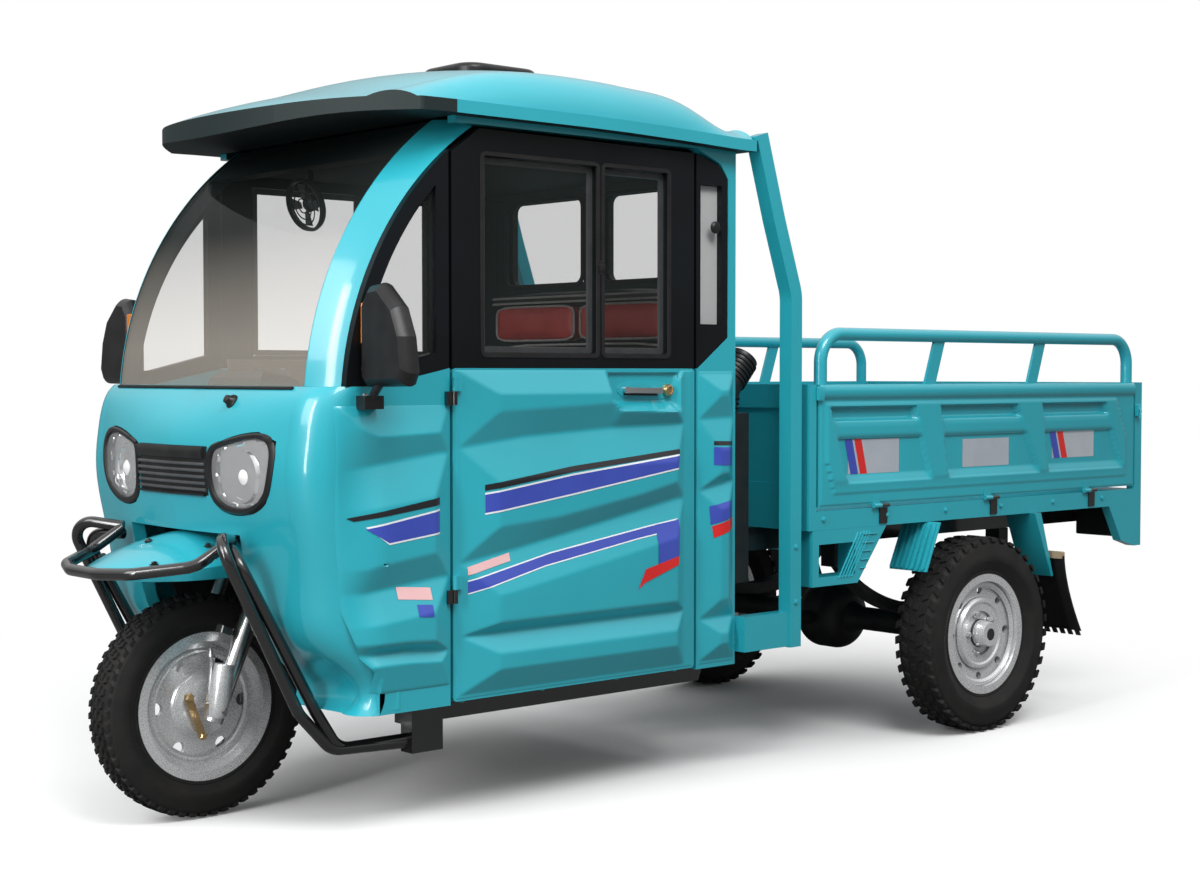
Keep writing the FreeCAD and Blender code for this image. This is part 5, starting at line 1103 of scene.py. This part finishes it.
def make_cab_inside():
    """Instrument pod with two dials, and the cab fan under the roof."""
    pod = Form().rings([[Vector((x, y * share, z + (971 - z) * (1 - share) * 0.2))
                         for x, y, z in ((front, -half, high), (front, half, high),
                                         (rear, half, low), (rear, -half, low))]
                        for share, front, rear, half, high, low in POD])
    make("instrument_pod", pod, PLASTIC)
    dials, faces = Form(), Form()
    for y in (-52, 52):
        dials.lathe((-200, y, 975), (-1, 0, 0.18), [(38, -6), (38, 2), (34, 5), (31, 3), (30, 0)],
                    32)
        faces.lathe((-203, y, 975), (-1, 0, 0.18), [(29, -2), (29, 0.5), (6, 1), (4, 3)], 32)
    make("instrument_bezels", dials, GREY_TRIM)
    make("instrument_faces", faces, LIT)
    fan = Form().lathe(FAN, FAN_AXIS, [(64, -8), (67, 0), (64, 8), (60, 9), (58, 0), (59, -8)], 36,
                       caps=False)
    for radius in (18, 34, 48):
        turns = [math.tau * i / 28 for i in range(28)]
        fan.loop([FAN + FAN_UP * math.cos(turn) * radius + FAN_ACROSS * math.sin(turn) * radius
                  + Vector((9, 0, -3)) for turn in turns], 1.6, 6)
    fan.lathe((-402, -160, 1414), FAN_AXIS, [(16, -24), (20, -14), (20, 0), (12, 8), (4, 10)], 24)
    fan.tube([(-408, -160, 1440), (-410, -160, 1480), (-410, -160, 1502)], 7)
    make("cab_fan", fan, PLASTIC)
    blades = Form()
    for i in range(4):
        turn = math.tau * i / 4
        out = FAN_UP * math.cos(turn) + FAN_ACROSS * math.sin(turn)
        side = FAN_UP * -math.sin(turn) + FAN_ACROSS * math.cos(turn)
        blades.slab([FAN + out * 16 + side * 8, FAN + out * 50 + side * 20,
                     FAN + out * 54 - side * 8, FAN + out * 16 - side * 8], (3, 0, -1), 0.8)
    make("cab_fan_blades", blades, GREY_TRIM)


# Padded seats. The Cloth step swells a pad by at most PUFF_MOST metres
PAD_CUTS, SQUARENESS = 14, 7.0
VOXEL, PUFF_MOST, PRESSURE, CLOTH_STEPS = 0.008, 0.006, 4, 20
CHANNEL_DEPTH, CHANNEL_WIDE = 7, 6
PIPING_RADIUS = 3.2


def pad_form(low, high, crown, thin):
    """A box rounded at its edges and crowned over its broad faces."""
    work = bmesh.new()
    bmesh.ops.create_cube(work, size=2)
    bmesh.ops.subdivide_edges(work, edges=work.edges, cuts=PAD_CUTS, use_grid_fill=True)
    low, high = Vector(low), Vector(high)
    centre, half = (low + high) / 2, (high - low) / 2
    flat = [axis for axis in range(3) if axis != thin]
    form = Form()
    for vertex in work.verts:
        share = vertex.co / sum(abs(c) ** SQUARENESS for c in vertex.co) ** (1 / SQUARENESS)
        u, v = share[flat[0]], share[flat[1]]
        swell = 1 - crown * (1 - (1 - abs(u) ** 2.6) * (1 - abs(v) ** 2.6))
        share[thin] *= swell
        pull = 0.035 * (1 - abs(share[thin]) ** 2)
        share[flat[0]] *= 1 - pull * (1 - v * v)
        share[flat[1]] *= 1 - pull * (1 - u * u)
        form.points.append(centre + Vector(share[axis] * half[axis] for axis in range(3)))
    form.faces = [[corner.vert.index for corner in face.loops] for face in work.faces]
    work.free()
    return form


def puffed(item):
    """Cloth blown up from inside; no point moves further than PUFF_MOST."""
    scene = bpy.context.scene
    remesh = item.modifiers.new("remesh", "REMESH")
    remesh.mode = "VOXEL"
    remesh.voxel_size = VOXEL
    settle(item)
    start = [vertex.co.copy() for vertex in item.data.vertices]
    cloth = item.modifiers.new("cloth", "CLOTH")
    cloth.settings.use_pressure = True
    cloth.settings.uniform_pressure_force = PRESSURE
    cloth.settings.quality = 5
    cloth.settings.effector_weights.gravity = 0
    cloth.point_cache.frame_start = 1
    cloth.point_cache.frame_end = CLOTH_STEPS
    for step in range(1, CLOTH_STEPS + 1):
        scene.frame_set(step)
    settle(item)
    scene.frame_set(1)
    for vertex, origin in zip(item.data.vertices, start):
        move = vertex.co - origin
        if move.length > PUFF_MOST:
            vertex.co = origin + move.normalized() * PUFF_MOST


def settle(item):
    """Takes the modifiers' result as the item's mesh."""
    graph = bpy.context.evaluated_depsgraph_get()
    mesh = bpy.data.meshes.new_from_object(item.evaluated_get(graph))
    item.modifiers.clear()
    item.data = mesh


def sew(item, thin, channels, low, high):
    """Sewn channels pressed into the broad faces: (axis, place in mm)."""
    core = (low[thin] + high[thin]) / 2
    deepest = CHANNEL_DEPTH / max(abs(high[thin] - core), 1)
    for vertex in item.data.vertices:
        point = station(vertex.co)
        sink = sum(math.exp(-((point[axis] - place) / CHANNEL_WIDE) ** 2)
                   for axis, place in channels)
        point[thin] = core + (point[thin] - core) * (1 - min(sink, 1) * deepest)
        vertex.co = at(*point)


def cushion(name, low, high, finish, thin, crown, channels=(), nodes=()):
    """A stuffed pad between two corners, with its seams piped."""
    item = make(name, pad_form(low, high, crown, thin), finish, sharp=60)
    puffed(item)
    dress(item, finish)
    if channels:
        sew(item, thin, channels, low, high)
    item.data.shade_smooth()
    smooth = item.modifiers.new("smooth", "SUBSURF")
    smooth.levels = smooth.render_levels = 1
    if nodes:
        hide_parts(*nodes)
    flat = [axis for axis in range(3) if axis != thin]
    piping = Form()
    for level in (0.5, -0.5):
        points = []
        half = [(high[axis] - low[axis]) / 2 for axis in range(3)]
        centre = [(high[axis] + low[axis]) / 2 for axis in range(3)]
        square = rounded([(-1, -1, 0), (1, -1, 0), (1, 1, 0), (-1, 1, 0)], 3)
        for u, v in [(p.x, p.y) for p in square]:
            reach = (abs(u) ** SQUARENESS + abs(v) ** SQUARENESS) ** (1 / SQUARENESS)
            point = [0, 0, 0]
            point[flat[0]] = centre[flat[0]] + u / reach * half[flat[0]] * 0.975
            point[flat[1]] = centre[flat[1]] + v / reach * half[flat[1]] * 0.975
            point[thin] = centre[thin] + level * half[thin]
            points.append(Vector(point))
        piping.loop(points, PIPING_RADIUS, 6)
    make(name + "_piping", piping, PIPING)


def make_seats():
    cushion("driver_cushion", (-908, -218, 612), (-612, 218, 699), VINYL, 2, 0.28,
            [(0, -690), (0, -760), (0, -830)], ["driver_seat"])
    cushion("driver_backrest", (-978, -198, 706), (-912, 198, 1048), VINYL, 0, 0.3,
            [(2, 820), (2, 900), (2, 980)])
    cushion("bench_cushion", (-1183, -398, 612), (-990, 398, 699), VINYL, 2, 0.28,
            [(1, -200), (1, 0), (1, 200)], ["rear_bench"])
    cushion("bench_lower_back", (-1183, -396, 706), (-1128, 396, 1082), BLACK_VINYL, 0, 0.3,
            [(1, -200), (1, 0), (1, 200)])
    for side, word in SIDES:
        low_y, high_y = sorted((side * 8, side * 346))
        cushion("bench_back_roll_" + word, (-1182, low_y, 1088), (-1116, high_y, 1182), VINYL, 0,
                0.3)
    cushion("bench_back_cap", (-1184, -380, 1184), (-1130, 380, 1213), BLACK_VINYL, 2, 0.2)


# Fork, mudguard and underbody
def make_fork_details():
    """Clamp lugs and axle nuts, sleeves over the legs, and the brake arm."""
    form = Form()
    for side in (1, -1):
        y = side * 85
        form.slab([(-36, y - 14, 430), (-8, y - 14, 441), (-2, y - 14, 424), (-30, y - 14, 412)],
                  (0, 28, 0), 2)
        form.slab([(-14, y - 13, 268), (26, y - 13, 268), (28, y - 13, 232), (-10, y - 13, 232)],
                  (0, 26, 0), 3)
        form.lathe((0, y + side * 13, FRONT_AXLE[2]), (0, side, 0),
                   [(15, 0), (15, 2), (12, 2), (12, 10), (10, 12), (5, 12), (5, 17)], 6)
        form.tube([(1, side * 62, 366), (7, side * 64, 310), (13, side * 66, 262)], 5, 8)
        form.lathe((1, side * 62, 366), (0.1, 0, 1), [(8, -4), (8, 4), (5, 10), (4, 22)], 12)
    make("fork_lugs", form, BRIGHT, "fork")
    form = Form()
    for side in (1, -1):
        foot, top = Vector((7, side * 95, 239)), Vector((-23, side * 95, 418))
        axis = top - foot
        form.lathe(foot, axis, [(17, -4), (21, 2), (24, 30), (24, 96), (22, 104), (22, 112),
                                (20, 116)], 32)
    make("fork_sleeves", form, ALLOY, "fork")
    form = Form()
    form.slab([(60, 44, 276), (44, 44, 284), (8, 44, 190), (24, 44, 182)], (0, 6, 0), 2)
    form.lathe((16, 50, 188), (0, 1, 0), [(9, -8), (9, 3), (6, 6)], 6)
    form.lathe((50, 50, 278), (0, 1, 0), [(11, -8), (11, 3), (7, 6)], 6)
    make("brake_arm", form, BRASS, "fork")


def make_mudguard_details():
    form = Form()
    guard = search("front_mudguard")
    for side in (1, -1):
        for x in (40, 170):
            hit = guard.ray_cast(Vector((x, side * 120, 800)), Vector((0, 0, -1)))[0]
            if hit:
                form.lathe(hit + Vector((0, 0, -1)), (0, 0, 1),
                           [(11, 0), (11, 2), (7, 2.4), (7, 6), (4, 8)], 6)
    hit = guard.ray_cast(Vector((120, 0, 800)), Vector((0, 0, -1)))[0]
    form.lathe(hit + Vector((0, 0, -1)), (0, 0, 1), [(9, 0), (9, 4), (6, 8), (3, 9)], 16)
    make("mudguard_bolts", form, BLACK_TUBE)


def make_rear_details():
    """Ribs on the mud shields, toothed flaps on their stays, gratings, latches and the
    tail lamps' domes and cases."""
    ribs = Form()
    for i in range(7):
        y = 462 + i * 18
        ribs.slab([(-1866, y, 470), (-1924, y, 594), (-1918, y, 596), (-1860, y, 472)], (0, 7, 0),
                  1.5)
    pair("mud_shield_ribs", ribs, PAINT)
    flap = Form()
    rows = []
    for i in range(19):
        share = i / 18
        x = -2484 - 88 * share ** 1.4
        z = 470 - 226 * share
        outer = 596 - 3 * math.sin(math.pi * share)
        across = [386 + (outer - 386) * k / 24 for k in range(25)]
        rows.append([Vector((x + 4 * math.cos(y / 24), y, z)) for y in across])
    back = [[p + Vector((-6, 0, 0)) for p in row] for row in rows]
    flap.rings([row + other[::-1] for row, other in zip(rows, back)])
    for i in range(8):
        y = 388 + i * 26.4
        flap.slab([(-2569, y, 246), (-2575, y, 246), (-2578, y + 5, 230), (-2573, y + 5, 230)],
                  (0, 15, 0), 1)
    for side, word in SIDES:
        piece = make("mud_flap_sheet_" + word, flap.on_side(side), RUBBER)
        if side == 1:
            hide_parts("mud_flaps")
    stay = Form()
    stay.slab([(-2440, 500, 597), (-2500, 500, 597), (-2486, 500, 486), (-2476, 500, 486)],
              (0, 4, 0), 1)
    stay.block((-2492, 386, 462), (-2478, 592, 482), 2)
    pair("mud_flap_stay", stay, TAN_STEEL)
    grating = Form()
    for i in range(5):
        top = -1590 - i * 12
        grating.tube([(top - 46, 544, 585), (top + 30, 544, 470)], 2.2, 6)
    for z in (490, 512, 534, 556, 578):
        grating.tube([(-1644 - (z - 452) * 0.52, 545, z), (-1640 - (z - 452) * 0.1, 545, z)], 2.0,
                     6)
    pair("tool_frame_grating", grating, PAINT)
    latch = Form().block((-2940, 545, 868), (-2922, 556, 906), 2)
    latch.tube([(-2931, 552, 900), (-2931, 560, 884), (-2931, 556, 862)], 3.5, 8)
    latch.block((-1490, 545, 930), (-1470, 555, 966), 2)
    pair("side_latches", latch, PAINT, "drop_side_{}")
    lamps = Form()
    for side in (1, -1):
        for y in (365, 415, 465):
            lamps.lathe((-2924, side * y, 548), (-1, 0, 0),
                        [(20, -2), (20, 2), (16, 5), (8, 7), (2, 7.5)], 24)
    make("tail_lamp_domes", lamps, RED_LENS)
    cases = Form().slab([(-2912, 363, 498), (-2884, 363, 498), (-2884, 497, 498),
                         (-2912, 497, 498)], (0, 0, 99), 3)
    pair("tail_lamp_case", cases, PLASTIC)


def make_intake_hose():
    """Corrugations round the air intake's bent neck."""
    front = station(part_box("air_intake")[1]).x
    foot, bend, mouth = (Vector((front - back, 400, z)) for back,
                         z in ((50, 905), (60, 960), (122, 1030)))
    form = Form()
    for start, end, count in ((foot, bend + (foot - bend) * 0.35, 4),
                              (bend + (mouth - bend) * 0.35, mouth, 6)):
        for i in range(count):
            form.lathe(start.lerp(end, i / (count - 1)), end - start,
                       [(39, -4), (43.5, -2), (43.5, 2), (39, 4)], 36, caps=False)
    make("air_intake_ribs", form, RUBBER)


def make_bolts():
    """Small fasteners along the sill, pillars and bed frame."""
    form = Form()
    for side in (1, -1):
        for x in (-390, -620, -850, -1040):
            form.lathe((x, side * 470, 278), (0, 0, -1), [(8, -1), (8, 3), (5, 5)], 6)
        for x in (-1500, -1750, -2000, -2250, -2500, -2750):
            form.lathe((x, side * 542, 625), (0, side, 0),
                       [(8, 0), (8, 2), (6, 2.4), (6, 6), (4, 7)], 6)
        for z in (420, 560):
            form.lathe((-1400, side * 539, z), (0, side, 0),
                       [(8, 0), (8, 2), (6, 2.4), (6, 5), (4, 6)], 6)
    make("frame_bolts", form, PAINT)


make_side_sheets()
make_stripes()
make_bed_sheets()
make_wheels()
make_headlamps()
make_grille()
make_door_linings_and_painted_light()
make_window_trim()
make_door_handles()
make_nose_trim()
make_mirror_details()
make_cab_inside()
make_seats()
make_fork_details()
make_mudguard_details()
make_rear_details()
make_intake_hose()
make_bolts()


# Studio
WHITE = (1, 1, 1, 1)
FLOOR_RADIUS = 30


def make_backdrop():
    """White to the camera and through glass; as a light it is weak at the horizon and strong
    overhead."""
    world = bpy.data.worlds.new("studio")
    world.use_nodes = True
    tree = world.node_tree
    back = tree.nodes["Background"]
    back.inputs["Color"].default_value = WHITE
    height = node(tree, "SeparateXYZ",
                  Vector=node(tree, "TexCoord").outputs["Generated"]).outputs["Z"]
    sky = node(tree, "MapRange", Value=height, From_Min=0.05, From_Max=0.75, To_Min=0.18,
               To_Max=1.05)
    rays = node(tree, "LightPath").outputs
    seen = node(tree, "Math", operation="MAXIMUM", _0=rays["Is Camera Ray"],
                _1=rays["Is Transmission Ray"])
    power = node(tree, "Mix", data_type="FLOAT", Factor=seen.outputs["Value"],
                 A=sky.outputs["Result"], B=1.0)
    tree.links.new(power.outputs["Result"], back.inputs["Strength"])
    bpy.context.scene.world = world


def make_floor():
    """A pale floor that keeps the shadow and fades into the white background away from the
    object."""
    mesh = bpy.data.meshes.new("studio_floor")
    work = bmesh.new()
    bmesh.ops.create_circle(work, cap_ends=True, radius=FLOOR_RADIUS, segments=96)
    work.to_mesh(mesh)
    work.free()
    item = bpy.data.objects.new("studio_floor", mesh)
    bpy.context.scene.collection.objects.link(item)
    item.location = (0, 0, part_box("front_tyre")[0].z - 0.0005)
    paper, tree, shader = new_material("pale_floor")
    shader.inputs["Roughness"].default_value = 0.7
    shader.inputs["Specular IOR Level"].default_value = 0.2
    seen = node(tree, "LightPath").outputs["Is Camera Ray"]
    colour = node(tree, "Mix", data_type="RGBA", Factor=seen, A=(0.16, 0.16, 0.16, 1),
                  B=(0.92, 0.92, 0.92, 1))
    tree.links.new(colour.outputs["Result"], shader.inputs["Base Color"])
    place = node(tree, "TexCoord").outputs["Object"]
    reach = node(tree, "VectorMath", operation="LENGTH", _0=place).outputs["Value"]
    fade = node(tree, "MapRange", interpolation_type="SMOOTHSTEP", Value=reach, From_Min=1.0,
                From_Max=3.0)
    only = node(tree, "Math", operation="MULTIPLY", _0=fade.outputs["Result"], _1=seen)
    glow = node(tree, "Emission", Color=WHITE, Strength=1.0)
    mix = node(tree, "MixShader", _0=only.outputs["Value"], _1=shader.outputs["BSDF"],
               _2=glow.outputs["Emission"])
    tree.links.new(mix.outputs["Shader"], tree.nodes["Material Output"].inputs["Surface"])
    dress(item, paper)


def make_light(name, place, target, width, height, power):
    """A rectangular lamp turned to its target."""
    data = bpy.data.lights.new(name, "AREA")
    data.shape = "RECTANGLE"
    data.size, data.size_y = width, height
    data.energy = power
    item = bpy.data.objects.new(name, data)
    bpy.context.scene.collection.objects.link(item)
    item.location = place
    item.rotation_mode = "QUATERNION"
    item.rotation_quaternion = (Vector(target) - Vector(place)).to_track_quat("-Z", "Y")


def make_studio():
    make_floor()
    make_backdrop()
    make_light("key", (1.6, 4.2, 5.6), (0.0, 0, 0.7), 3.4, 2.4, 270)
    make_light("strip", (5.2, 1.6, 2.2), (0.8, 0.2, 1.0), 0.5, 3.2, 90)
    make_light("front", (5.6, 0.4, 3.4), (0.8, 0, 0.9), 2.6, 2.6, 110)


# Photograph's camera, solved from the parallel edges of the cab and the bed
CAMERA = (2102.7, 3756.3, 1003.2)
CAMERA_YAW, CAMERA_PITCH = 48.56, 2.17
CAMERA_LENS = 56.06


def make_camera():
    data = bpy.data.cameras.new("camera")
    data.lens = CAMERA_LENS
    data.sensor_width = 36
    item = bpy.data.objects.new("camera", data)
    bpy.context.scene.collection.objects.link(item)
    item.location = at(*CAMERA)
    yaw, pitch = math.radians(CAMERA_YAW), math.radians(CAMERA_PITCH)
    look = Vector((-math.cos(yaw) * math.cos(pitch), -math.sin(yaw) * math.cos(pitch),
                   -math.sin(pitch)))
    item.rotation_mode = "QUATERNION"
    item.rotation_quaternion = look.to_track_quat("-Z", "Y")
    bpy.context.scene.camera = item


make_studio()
make_camera()
bpy.context.scene.view_settings.view_transform = "Standard"
